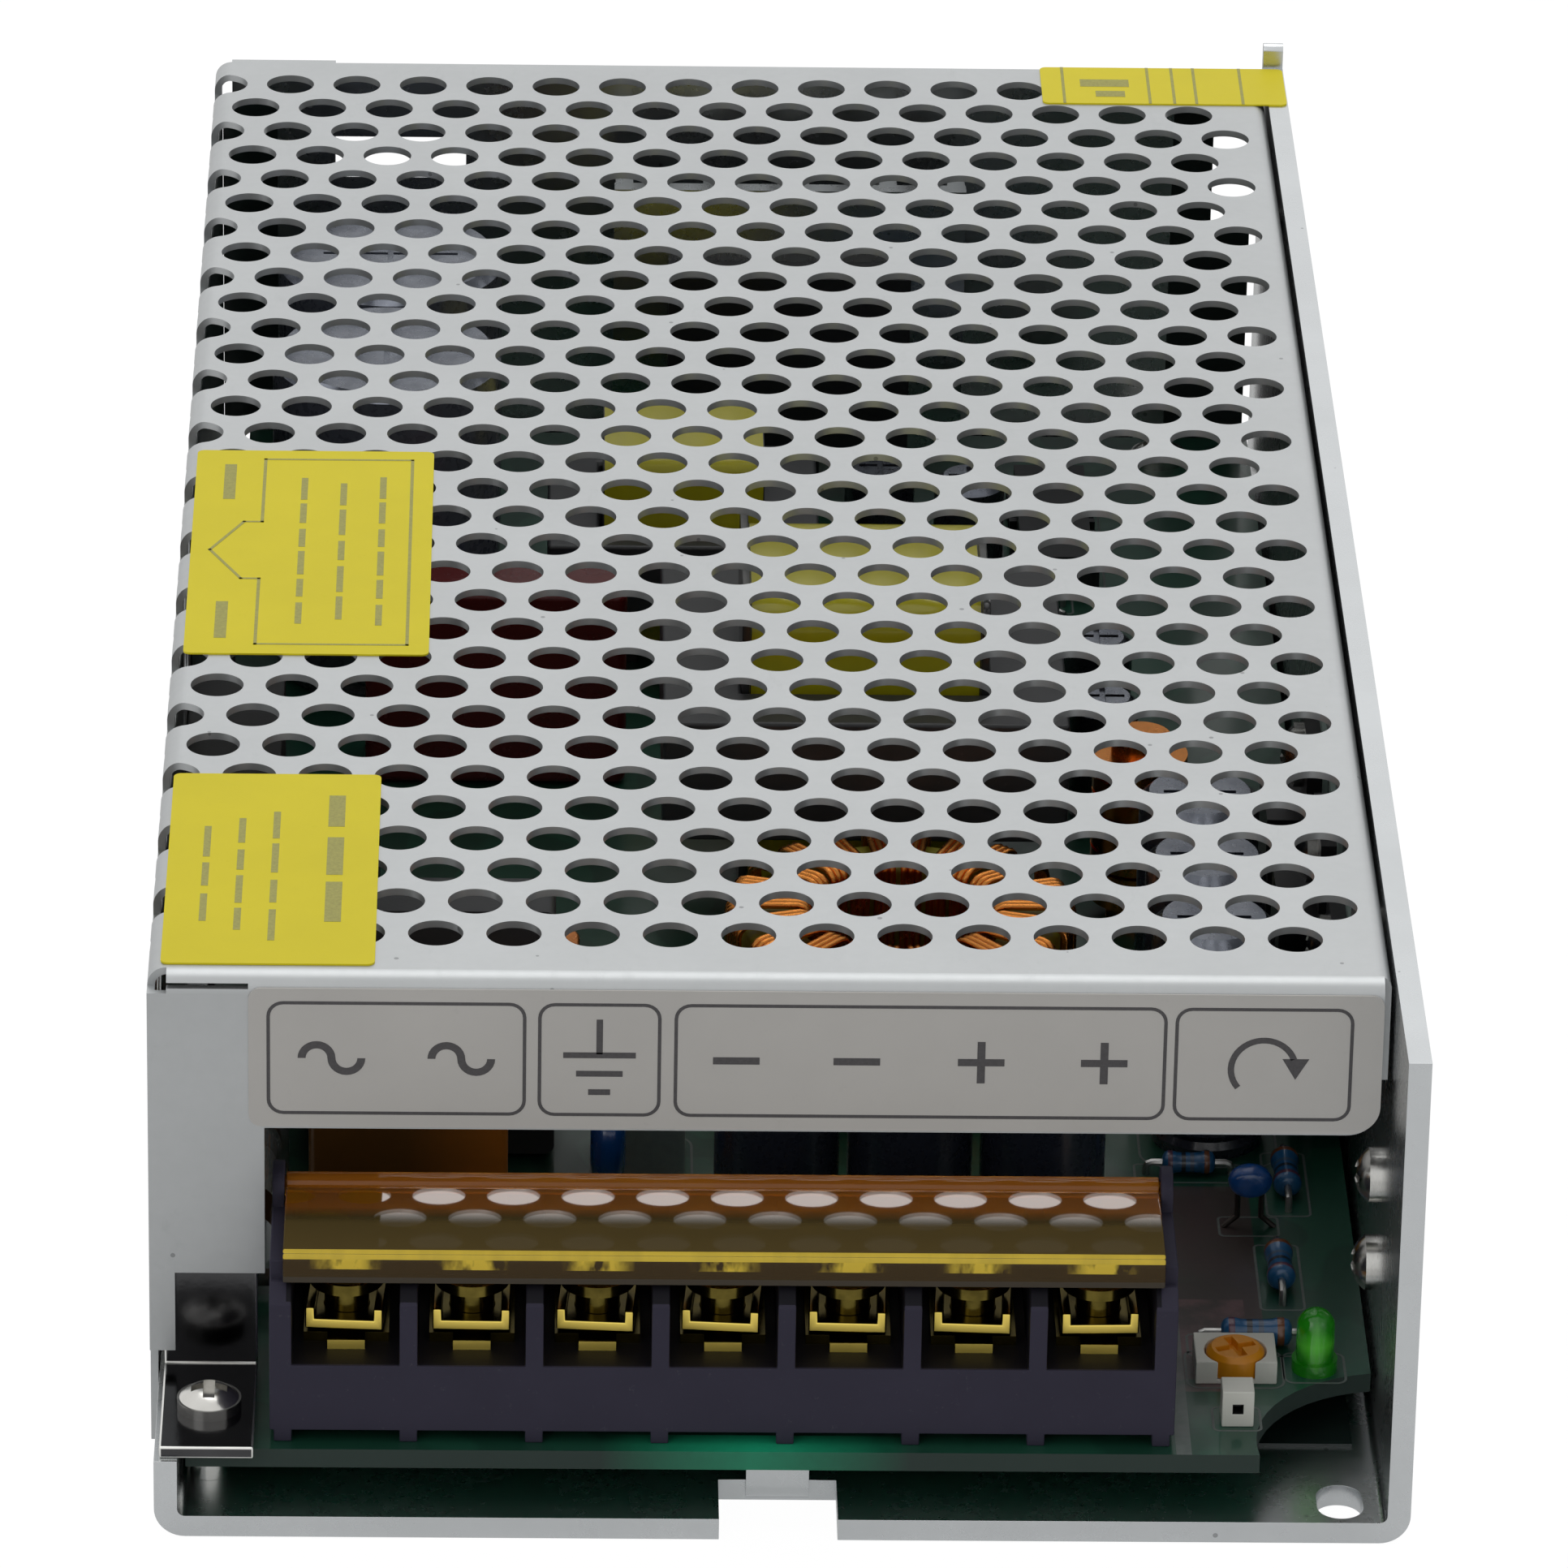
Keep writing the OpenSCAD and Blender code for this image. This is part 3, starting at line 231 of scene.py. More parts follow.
class Finish(Nodes):
    """A material with a Principled shader."""

    def __init__(self, name, **constants):
        self.material = bpy.data.materials.new(name)
        self.material.use_nodes = True
        super().__init__(self.material.node_tree)
        self.shader = self.tree.nodes["Principled BSDF"]
        self.set(**constants)

    def set(self, **sockets):
        """Sets the shader's sockets, named with underscores for spaces."""
        for key, value in sockets.items():
            self.feed(self.shader.inputs[key.replace("_", " ")], value)

    def layered(self, *layers):
        """Lays other shaders over the Principled one, each by its factor."""
        mixed = Wire(self, self.shader.outputs[0])
        for factor, layer in layers:
            mixed = self.add("MixShader", {}, {0: factor, 1: mixed, 2: layer})
        self.surface(mixed)

    def matt(self, tone):
        """A dull layer of a colour."""
        return self.add("BsdfDiffuse", {}, {"Color": tone})

    def place(self, centre=(0, 0, 0), stretch=(1, 1, 1)):
        """Object coordinates in millimetres, from a centre in metres."""
        coordinate = self.add("TexCoord", output="Object")
        return self.add("Mapping", {}, {
            "Vector": coordinate, "Location": [-c * s / MM for c, s in zip(centre, stretch)],
            "Scale": [s / MM for s in stretch]})

    def axes(self, centre=(0, 0, 0)):
        """The three coordinates in millimetres, as numbers."""
        place = self.place(centre)
        return [self.add("SeparateXYZ", {}, {0: place}, output=axis) for axis in "XYZ"]

    def facing(self, axis="Z"):
        """How far the surface faces along an axis."""
        normal = self.add("NewGeometry", output="Normal")
        return self.add("SeparateXYZ", {}, {0: normal}, output=axis)

    def noise(self, size, detail, stretch=(1, 1, 1), roughness=0.55):
        """Soft noise from 0 to 1 with features of a size in millimetres."""
        place = self.place(stretch=stretch)
        return self.add("TexNoise", {}, {
            "Vector": place, "Scale": 1 / size, "Detail": detail, "Roughness": roughness})

    def spots(self, size):
        """Distance to scattered points that lie about a size in millimetres apart."""
        return self.add("TexVoronoi", {}, {"Vector": self.place(), "Scale": 1 / size}, output="Distance")

    def ramp(self, value, *stops):
        """The value put through a ramp of (position, tone) stops."""
        return self.add("ValToRGB", {"stops": stops}, {"Fac": value})

    def mix(self, factor, first, second):
        """A colour between two."""
        return self.add("Mix", {"data_type": "RGBA"}, {0: factor, 6: first, 7: second}, output=2)

    def bump(self, height, strength, distance):
        """The normal that a height in 0 to 1 gives, over a distance in millimetres."""
        return self.add("Bump", {}, {"Height": height, "Strength": strength, "Distance": distance * MM})


def shade(tone, factor):
    """A colour made lighter or darker."""
    return tuple(min(1.0, channel * factor) for channel in tone)


def folded_sheet(name, tone, mottling, roughness, metallic, shaded=None):
    """Rolled sheet with cloudy marks, scuffs and specks; shaded gives the factor of a part in shadow."""
    finish = Finish(name, Metallic=metallic)
    cloud = finish.noise(mottling / MM, 4)
    fine = finish.noise(1.1, 3)
    lines = finish.noise(0.55, 2, stretch=(1, 0.03, 1))
    scuff = finish.ramp(finish.noise(3.2, 6, stretch=(1, 0.35, 1), roughness=0.7), (0.60, 0), (0.78, 1))
    speck = finish.spots(4.5) < 0.045
    base = finish.mix(cloud, shade(tone, 0.90), shade(tone, 1.07))
    base = finish.mix(fine * 0.35, base, shade(tone, 0.82))
    base = finish.mix(scuff * 0.22, base, shade(tone, 0.70))
    base = finish.mix(speck * 0.6, base, shade(tone, 0.30))
    if shaded:
        base = finish.mix(shaded(finish), base, (0.05, 0.06, 0.055))
    finish.set(Base_Color=base, Roughness=roughness + cloud * 0.10 + fine * 0.06 + scuff * 0.08)
    finish.set(Normal=finish.bump(lines * 0.6 + fine * 0.4, 0.25, 0.02))
    return finish.material


def plated(name, tone, roughness, grain=0.8, spread=0.2):
    """Plated metal with a little uneven tarnish."""
    finish = Finish(name, Metallic=1.0)
    tarnish = finish.noise(grain * 3, 4)
    fine = finish.noise(grain * 0.4, 2)
    base = finish.mix(tarnish, shade(tone, 1 - spread), shade(tone, 1 + spread / 2))
    finish.set(Base_Color=base, Roughness=roughness + tarnish * 0.12, Normal=finish.bump(fine, 0.3, 0.02))
    return finish.material


def moulded(name, tone, roughness, marks=5.0, painted_shading=None, **constants):
    """Moulded plastic with a fine grain and uneven polish, and painted light and shade laid over it as a
    (factor, colour) from the function given.
    """
    finish = Finish(name, **constants)
    cloud = finish.noise(marks, 3)
    grain = finish.noise(0.35, 2)
    dust = finish.ramp(finish.noise(0.7, 5, roughness=0.8), (0.63, 0), (0.8, 1))
    base = finish.mix(cloud, shade(tone, 0.86), shade(tone, 1.14))
    base = finish.mix(dust * 0.12, base, (0.5, 0.5, 0.48))
    # painted light and shade, where a function for them is given
    if painted_shading:
        factor, other = painted_shading(finish)
        base = finish.mix(factor, base, other)
    finish.set(Base_Color=base, Roughness=roughness + cloud * 0.1 + dust * 0.1)
    finish.set(Normal=finish.bump(grain, 0.2, 0.03))
    return finish.material


def film(name, tone, roughness=0.38, sheen=0.3):
    """Printed film stuck to the sheet: nearly flat, with faint ripples and scuffs."""
    finish = Finish(name, Specular_IOR_Level=sheen)
    cloud = finish.noise(9, 3)
    ripple = finish.noise(5, 2)
    scuff = finish.ramp(finish.noise(1.3, 6, roughness=0.75), (0.62, 0), (0.82, 1))
    base = finish.mix(cloud, shade(tone, 0.93), shade(tone, 1.06))
    base = finish.mix(scuff * 0.3, base, shade(tone, 0.72))
    finish.set(Base_Color=base, Roughness=roughness + scuff * 0.15, Normal=finish.bump(ripple, 0.12, 0.2))
    return finish.material


def ink(name, tone):
    """Printed ink with slightly worn edges."""
    finish = Finish(name, Roughness=0.55)
    wear = finish.noise(0.25, 4, roughness=0.7)
    finish.set(Base_Color=finish.mix(wear, shade(tone, 0.7), shade(tone, 1.7)))
    return finish.material


# ---------------------------------------------------------------- meshes

def merged(node):
    """A copy of a CAD node's mesh with its triangles joined into faces."""
    bm = bmesh.new()
    bm.from_mesh(NODES[node].data)
    bmesh.ops.remove_doubles(bm, verts=bm.verts, dist=1e-6)
    bmesh.ops.dissolve_limit(bm, angle_limit=math.radians(0.5), verts=bm.verts, edges=bm.edges)
    return bm


def solids(node):
    """The (lowest, highest) corners of each separate solid in a CAD node."""
    bm = merged(node)
    left = set(bm.verts)
    boxes = []
    while left:
        group = {left.pop()}
        edge = list(group)
        while edge:
            vert = edge.pop()
            for link in vert.link_edges:
                other = link.other_vert(vert)
                if other in left:
                    left.remove(other)
                    group.add(other)
                    edge.append(other)
        low = Vector(min(v.co[i] for v in group) for i in range(3))
        high = Vector(max(v.co[i] for v in group) for i in range(3))
        boxes.append((low, high))
    bm.free()
    return sorted(boxes, key=lambda box: (round(box[0].x, 5), round(box[0].y, 5), round(box[0].z, 5)))


def round_edges(bm, radius, segments=2):
    """Rounds the edges of a closed mesh that turn by more than 35 degrees, and returns their faces."""
    limit = math.radians(35)
    sharp = [e for e in bm.edges if len(e.link_faces) == 2 and e.calc_face_angle(0) > limit]
    made = bmesh.ops.bevel(bm, geom=sharp, offset=radius, offset_type="OFFSET", affect="EDGES",
                           segments=segments, profile=0.5, material=-1, clamp_overlap=True)
    return made["faces"]


def piece(name, bm, materials, body="case", slot=None, stands_for=(), crease=32):
    """A finished piece from a mesh: smooth between creases, on its body."""
    mesh = bpy.data.meshes.new(name)
    bm.to_mesh(mesh)
    bm.free()
    mesh.shade_smooth()
    mesh.set_sharp_from_angle(angle=math.radians(crease))
    for material in materials if isinstance(materials, (list, tuple)) else [materials]:
        mesh.materials.append(material)
    obj = bpy.data.objects.new(name, mesh)
    bpy.context.scene.collection.objects.link(obj)
    obj.modifiers.new("weighted normals", "WEIGHTED_NORMAL").keep_sharp = True
    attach(obj, body)
    slot or SLOT_OF[stands_for[0]]
    if stands_for:
        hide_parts(*stands_for)


def paint(material, *nodes):
    """Gives CAD nodes a material."""
    for node in nodes:
        for slot in NODES[node].material_slots:
            slot.material = material


def rounded_copy(node, material, radius, segments=2):
    """A CAD node with rounded edges, as a piece that stands for it; a second material is for the edges."""
    bm = merged(node)
    edges = round_edges(bm, radius, segments)
    if isinstance(material, tuple):
        for face in edges:
            face.material_index = 1
    piece(node + "_rounded", bm, material, BODY_OF[node], stands_for=(node,))


def joined(bm):
    """Joins what touches in a new mesh and turns its faces outwards."""
    bmesh.ops.remove_doubles(bm, verts=bm.verts, dist=1e-6)
    bmesh.ops.recalc_face_normals(bm, faces=bm.faces)


def newest(bm, before):
    """The faces that were added since the mesh had a number of them."""
    bm.faces.ensure_lookup_table()
    return bm.faces[before:]


def lathe(bm, stations, centre, axis):
    """A solid turned about an axis from (place along it, radius, material) stations."""
    before = len(bm.faces)
    reach = axis.orthogonal().normalized()
    verts = [bm.verts.new(centre + axis * at + reach * radius) for at, radius, index in stations]
    edges = [bm.edges.new(pair) for pair in zip(verts, verts[1:])]
    bmesh.ops.spin(bm, geom=[*verts, *edges], cent=centre, axis=axis, angle=2 * math.pi, steps=28,
                   use_merge=True)
    for face in newest(bm, before):
        place = (face.calc_center_median() - centre).dot(axis)
        face.material_index = [index for at, radius, index in stations if at < place + 0.001 * MM][-1]


def tube(bm, points, radius, side, closed=False, index=0):
    """A round wire through points that lie in one plane, whose normal is given as side."""
    sides = 8
    before = len(bm.faces)
    loops = []
    for place, point in enumerate(points):
        came = point - points[place - 1] if place or closed else points[1] - point
        goes = points[(place + 1) % len(points)] - point if place + 1 < len(points) or closed else came
        along = (came.normalized() + goes.normalized()).normalized()
        across = along.cross(side) / max(0.5, along.dot(goes.normalized()))
        matrix = Matrix((across, side, along)).transposed().to_4x4()
        matrix.translation = point
        made = bmesh.ops.create_circle(bm, cap_ends=False, segments=sides, radius=radius, matrix=matrix)
        loops.append({edge for vert in made["verts"] for edge in vert.link_edges})
    ahead = loops[1:] + loops[:1] if closed else loops[1:]
    for first, second in zip(loops, ahead):
        bmesh.ops.bridge_loops(bm, edges=list(first | second))
    if not closed:
        bmesh.ops.holes_fill(bm, edges=list(loops[0] | loops[-1]), sides=sides)
    for face in newest(bm, before):
        face.material_index = index


def bar(bm, x, y, width, height, turn=0.0):
    """A flat bar of ink on the drawing plane."""
    size = Matrix.Diagonal((width, height, 1, 1))
    matrix = Matrix.Translation((x, y, 0)) @ Matrix.Rotation(turn, 4, "Z") @ size
    return bmesh.ops.create_grid(bm, x_segments=1, y_segments=1, size=0.5, matrix=matrix)["verts"]


def outline(bm, points, line):
    """A line of ink through points on the drawing plane."""
    for start, end in zip(points, points[1:]):
        middle, reach = (start + end) / 2, end - start
        bar(bm, middle.x, middle.y, reach.length + line, line, math.atan2(reach.y, reach.x))


def dashes(bm, x, y, width, depth, step=5.2 * MM):
    """A row of plain bars of uneven length along Y, in the place of a line of print."""
    count = max(1, round(depth / step))
    pitch = depth / count
    for k in range(count):
        share = 0.80 + 0.13 * math.sin(k * 2.4 + x / MM)
        bar(bm, x, y - depth / 2 + (k + 0.5) * pitch, width, pitch * share)


def ring(bm, x0, y0, x1, y1, radius, line):
    """A rounded frame line on the drawing plane."""
    corners = bar(bm, (x0 + x1) / 2, (y0 + y1) / 2, x1 - x0, y1 - y0)
    made = bmesh.ops.bevel(bm, geom=corners, offset=radius, offset_type="OFFSET", affect="VERTICES",
                           segments=6, profile=0.5, material=-1)
    sheet = made["verts"][0].link_faces[0]
    bmesh.ops.inset_region(bm, faces=[sheet], thickness=line, use_even_offset=True, use_boundary=True)
    bmesh.ops.delete(bm, geom=[sheet], context="FACES")


def arc(bm, x, y, radius, start, stop, line, steps):
    """A bent stroke on the drawing plane, from an angle to another."""
    reach = Vector((math.cos(start), math.sin(start), 0))
    centre = Vector((x, y, 0))
    ends = [bm.verts.new(centre + reach * (radius + side * line / 2)) for side in (-1, 1)]
    edge = bm.edges.new(ends)
    bmesh.ops.spin(bm, geom=[*ends, edge], cent=centre, axis=UP, angle=stop - start, steps=steps)


def lift_ink(bm, height, matrix):
    """Gives flat ink its thickness and puts it in its place."""
    for face in bm.faces:
        if face.normal.z < 0:
            face.normal_flip()
    made = bmesh.ops.extrude_face_region(bm, geom=bm.faces[:])
    tops = [item for item in made["geom"] if isinstance(item, bmesh.types.BMVert)]
    bmesh.ops.translate(bm, verts=tops, vec=(0, 0, height))
    bmesh.ops.recalc_face_normals(bm, faces=bm.faces)
    bmesh.ops.transform(bm, matrix=matrix, verts=bm.verts)


# ---------------------------------------------------------------- operators

class CaseOperator(bpy.types.Operator):
    """Shared by the operators: their settings"""
    bl_options = {"REGISTER", "UNDO"}

    @staticmethod
    def settings(context, group):
        return getattr(context.scene, "power_supply_" + group)


class OBJECT_OT_psu_sheets(CaseOperator):
    """Finish the chassis and the perforated cover"""
    bl_idname = "object.psu_sheets"
    bl_label = "Case sheets"

    def execute(self, context):
        sheet = self.settings(context, "sheet")
        paint(folded_sheet("cover sheet", sheet.cover, sheet.mottling, 0.34, 0.75), "cover")

        def inner_wall(finish):
            """The inner face of the right wall, in a shadow that deepens between Y -70 and -55 mm."""
            x, y, z = finish.axes()
            shadow = ((y + 70) / 20).larger(0.0).smaller(0.75)
            return (finish.facing("X") < -0.5) * (x > 40) * shadow

        chassis = folded_sheet("chassis sheet", sheet.chassis, sheet.mottling, 0.19, 1.0, inner_wall)
        rounded_copy("chassis", chassis, sheet.edge)
        paint(chassis, "rear_heatsink")
        return {"FINISHED"}


class OBJECT_OT_psu_screws(CaseOperator):
    """Finish the screws and stand-offs"""
    bl_idname = "object.psu_screws"
    bl_label = "Screws"

    def execute(self, context):
        zinc = plated("zinc plate", self.settings(context, "sheet").screws, 0.16)
        paint(zinc, "cover_screws", "wall_screws", "device_screws", "earth_screw", "board_screws",
              "board_standoffs")
        return {"FINISHED"}


class OBJECT_OT_psu_label(CaseOperator):
    """Print the frames and signs on the terminal label"""
    bl_idname = "object.psu_label"
    bl_label = "Terminal label"

    def execute(self, context):
        prints = self.settings(context, "prints")
        paint(film("label film", prints.label), "terminal_label")
        low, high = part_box("terminal_label")
        margin, radius, pen = 1.1 * MM, 1.3 * MM, prints.stroke
        bottom, top = margin, (high.z - low.z) - margin
        middle = (bottom + top) / 2
        bm = bmesh.new()
        x = 1.4 * MM
        centres = []
        for width, gap in ((20.0, 0.9), (9.5, 1.0), (38.0, 0.6), (13.8, 0)):
            ring(bm, x, bottom, x + width * MM, top, radius, prints.line)
            centres.append(x + width * MM / 2)
            x += (width + gap) * MM
        # two waves for the alternating input
        bend = 1.15 * MM
        for place in (-5.0, 5.0):
            at = centres[0] + place * MM
            arc(bm, at - bend, middle, bend, 0, math.pi, pen, 14)
            arc(bm, at + bend, middle, bend, math.pi, 2 * math.pi, pen, 14)
        # the earth sign
        bar(bm, centres[1], middle + 2.0 * MM, pen * 0.8, 3.0 * MM)
        for step, width in enumerate((5.6, 3.6, 1.7)):
            bar(bm, centres[1], middle + (0.4 - 1.6 * step) * MM, width * MM, pen * 0.8)
        # two minus and two plus signs
        reach = 1.8 * MM
        for place, sign in ((-14.2, "-"), (-4.9, "-"), (4.7, "+"), (14.2, "+")):
            at = centres[2] + place * MM
            bar(bm, at, middle, 2 * reach, pen)
            for side in (1, -1) if sign == "+" else ():
                bar(bm, at, middle + side * (reach + pen / 2) / 2, pen, reach - pen / 2)
        # a turning arrow over the adjuster
        bend = 2.5 * MM
        arc(bm, centres[3], middle - 0.4 * MM, bend, math.radians(20), math.radians(220), pen * 0.8, 24)
        tip = bmesh.ops.create_circle(bm, cap_ends=True, segments=3, radius=1.2 * MM)["verts"]
        end = Matrix.Translation((centres[3] + bend, middle - 0.1 * MM, 0))
        bmesh.ops.transform(bm, matrix=end @ Matrix.Rotation(math.pi, 4, "Z"), verts=tip)
        upright = Matrix.Translation((low.x, low.y, low.z)) @ Matrix.Rotation(math.pi / 2, 4, "X")
        lift_ink(bm, prints.ink_height, upright)
        piece("label_print", bm, ink("label ink", prints.ink), slot="silver_label")
        return {"FINISHED"}


class OBJECT_OT_psu_stickers(CaseOperator):
    """Finish the three yellow stickers"""
    bl_idname = "object.psu_stickers"
    bl_label = "Stickers"

    def execute(self, context):
        prints = self.settings(context, "prints")
        names = ("selector_sticker", "corner_sticker", "seal_sticker")
        paint(film("sticker film", prints.sticker, 0.42, 0.15), *names)
        faded = ink("sticker ink", prints.faded)
        for name in names:
            low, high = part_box(name)
            bm = bmesh.new()
            getattr(self, name)(bm, high.x - low.x, high.y - low.y, prints.line)
            lift_ink(bm, prints.ink_height, Matrix.Translation((low.x, low.y, high.z)))
            piece(name + "_print", bm, faded, slot="yellow_sticker")
        return {"FINISHED"}

    @staticmethod
    def selector_sticker(bm, width, depth, line):
        """A frame whose left side runs out into an arrow, with rows of bars in it."""
        # the corners are on a grid of 20 by 40 over the sticker
        corners = ((5.8, 38.2), (18.2, 38.2), (18.2, 1.8), (5.8, 1.8), (5.8, 14.4), (4.3, 14.4),
                   (1.6, 20.0), (4.3, 25.6), (5.8, 25.6), (5.8, 38.2))
        outline(bm, [Vector((x / 20 * width, y / 40 * depth, 0)) for x, y in corners], line)
        for k, share in enumerate((0.86, 0.80, 0.84)):
            dashes(bm, width - (4.2 + 3.3 * k) * MM, depth / 2, 0.55 * MM, (depth - 5 * MM) * share)
        for end in (0.16, 0.84):
            bar(bm, 2.9 * MM, depth * end, 1.0 * MM, 7.0 * MM)

    @staticmethod
    def corner_sticker(bm, width, depth, line):
        """Rows of bars, the one at the right of bold ones."""
        dashes(bm, width - 3.4 * MM, depth * 0.56, 1.3 * MM, depth * 0.72, 9.0 * MM)
        for k, share in enumerate((0.52, 0.62, 0.70)):
            dashes(bm, (3.0 + 2.7 * k) * MM, depth * 0.46, 0.55 * MM, depth * share)

    @staticmethod
    def seal_sticker(bm, width, depth, line):
        """The columns of an empty table, and two bars."""
        for place in (0.09, 0.44, 0.54, 0.63, 0.82):
            bar(bm, width * place, depth / 2, line, depth)
        bar(bm, width * 0.26, depth * 0.56, width * 0.2, depth * 0.2)
        bar(bm, width * 0.28, depth * 0.26, width * 0.12, depth * 0.16)


class OBJECT_OT_psu_board(CaseOperator):
    """Finish the circuit board and print the outlines of its parts"""
    bl_idname = "object.psu_board"
    bl_label = "Circuit board"

    def execute(self, context):
        board = self.settings(context, "board")
        low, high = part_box("circuit_board")
        finish = Finish("board lacquer", Coat_Roughness=0.1)
        x, y, z = finish.axes((high.x, low.y, high.z))
        cloud = finish.noise(9, 4)
        blotch = finish.ramp(finish.noise(3.4, 4), (0.42, 0), (0.62, 1))
        tracks = finish.ramp(finish.noise(6, 1, stretch=(1, 0.6, 1)), (0.49, 0), (0.53, 1))
        fine = finish.noise(0.6, 3)
        lacquer = finish.mix(tracks * 0.45, board.mask, shade(board.mask, 1.9))

        def field(left, right, front, rear):
            """A field of the board, from its right and its front edge."""
            return (x > left) * (x < right) * (y > front) * (y < rear)

        # copper under the lacquer, a paler patch in it, and a pale stripe beside the terminal block
        bare = field(-16.2, -8.0, 12, 44)
        lacquer = finish.mix((bare * (0.5 + cloud * 0.6)).smaller(1.0), lacquer, board.copper)
        pale = field(-15.6, -9.4, 10, 25)
        lacquer = finish.mix(pale * blotch * 0.8, lacquer, shade(board.copper, 2.3))
        stripe = field(-15.9, -14.7, -1, 40)
        lacquer = finish.mix(stripe * (0.5 + blotch * 0.4), lacquer, shade(board.legend, 1.4))
        # light that comes up through the notch of the floor shines through the front edge
        notch, reach, depth = -48.5, 12.0, 2.6
        shine = (1.0 - abs(x - notch) / reach).larger(0.0) * (y < depth)
        lacquer = finish.mix(shine * 0.95, lacquer, (0.02, 0.60, 0.30))
        top = finish.facing() > 0.5
        side = abs(finish.facing()) < 0.5
        lacquer = finish.mix(side, lacquer, finish.mix(shine * 0.6, board.core, (0.02, 0.42, 0.22)))
        # painted light: the underside gets its own lighter green
        lacquer = finish.mix(finish.facing() < -0.5, lacquer, board.under)
        finish.set(Base_Color=finish.mix(fine * 0.25, lacquer, shade(board.mask, 0.4)),
                   Roughness=0.30 + cloud * 0.12 + side * 0.4, Coat_Weight=top * 0.35,
                   Normal=finish.bump(tracks * top + fine * 0.2, 0.25, 0.04))
        paint(finish.material, "circuit_board")
        self.films(moulded("insulating film", (0.012, 0.02, 0.018), 0.25))
        self.legend(board, high.z)
        return {"FINISHED"}

    @staticmethod
    def films(dark):
        """The sheet under the board, and a film inside the left wall and across both rear corners."""
        paint(dark, "insulating_sheet")
        thick, top = 0.12, 39.5
        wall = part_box("cover")[0].x / MM + 0.62
        rear = 95.44
        # the two lengths leave the selector free, and the film in the right corner gets narrower above
        lengths = ((-72.0, -20.3), (0.3, 93.0))
        corners = ((-48.3, -43.3, 6.9, top), (39.0, 46.3, 2.6, 27.4), (39.0, 42.7, 27.4, top))
        films = [((wall, first, 8.5), (wall + thick, last, top)) for first, last in lengths]
        films += [((left, rear, low), (right, rear + thick, high)) for left, right, low, high in corners]
        bm = bmesh.new()
        for near, far in films:
            near, far = Vector(near) * MM, Vector(far) * MM
            shape = Matrix.Translation((near + far) / 2) @ Matrix.Diagonal((*(far - near), 1))
            bmesh.ops.create_cube(bm, size=1, matrix=shape)
        piece("side_film", bm, dark, slot=SLOT_OF["insulating_sheet"])

    @staticmethod
    def legend(board, height):
        """Faint printed outlines round the parts that stand on the board."""
        bm = bmesh.new()
        line, margin = 0.2 * MM, 0.7 * MM
        for node in ("adjuster_body", "indicator_led", "test_socket", "resistors", "disc_capacitors",
                     "output_capacitors", "small_capacitors", "control_chips", "grey_capacitor"):
            for low, high in solids(node):
                spread = min(high.x - low.x, high.y - low.y) * 0.24
                ring(bm, low.x - margin, low.y - margin, high.x + margin, high.y + margin, spread, line)
        lift_ink(bm, 0.015 * MM, Matrix.Translation((0, 0, height)))
        piece("board_print", bm, ink("board legend", board.legend), slot="board_laminate")


class OBJECT_OT_psu_bracket(CaseOperator):
    """Finish the earth bracket"""
    bl_idname = "object.psu_bracket"
    bl_label = "Earth bracket"

    def execute(self, context):
        # painted shade and highlight: the plate is made nearly black, as it looks where it mirrors the dark
        # inside, and its rounded edges get a bright copy of the nickel as painted highlight
        dark = plated("nickel plate", (0.075, 0.075, 0.078), 0.09, 2.0, 0.5)
        bright = plated("nickel edge", (0.75, 0.75, 0.72), 0.25)
        rounded_copy("earth_bracket", (dark, bright), 0.16 * MM)
        return {"FINISHED"}


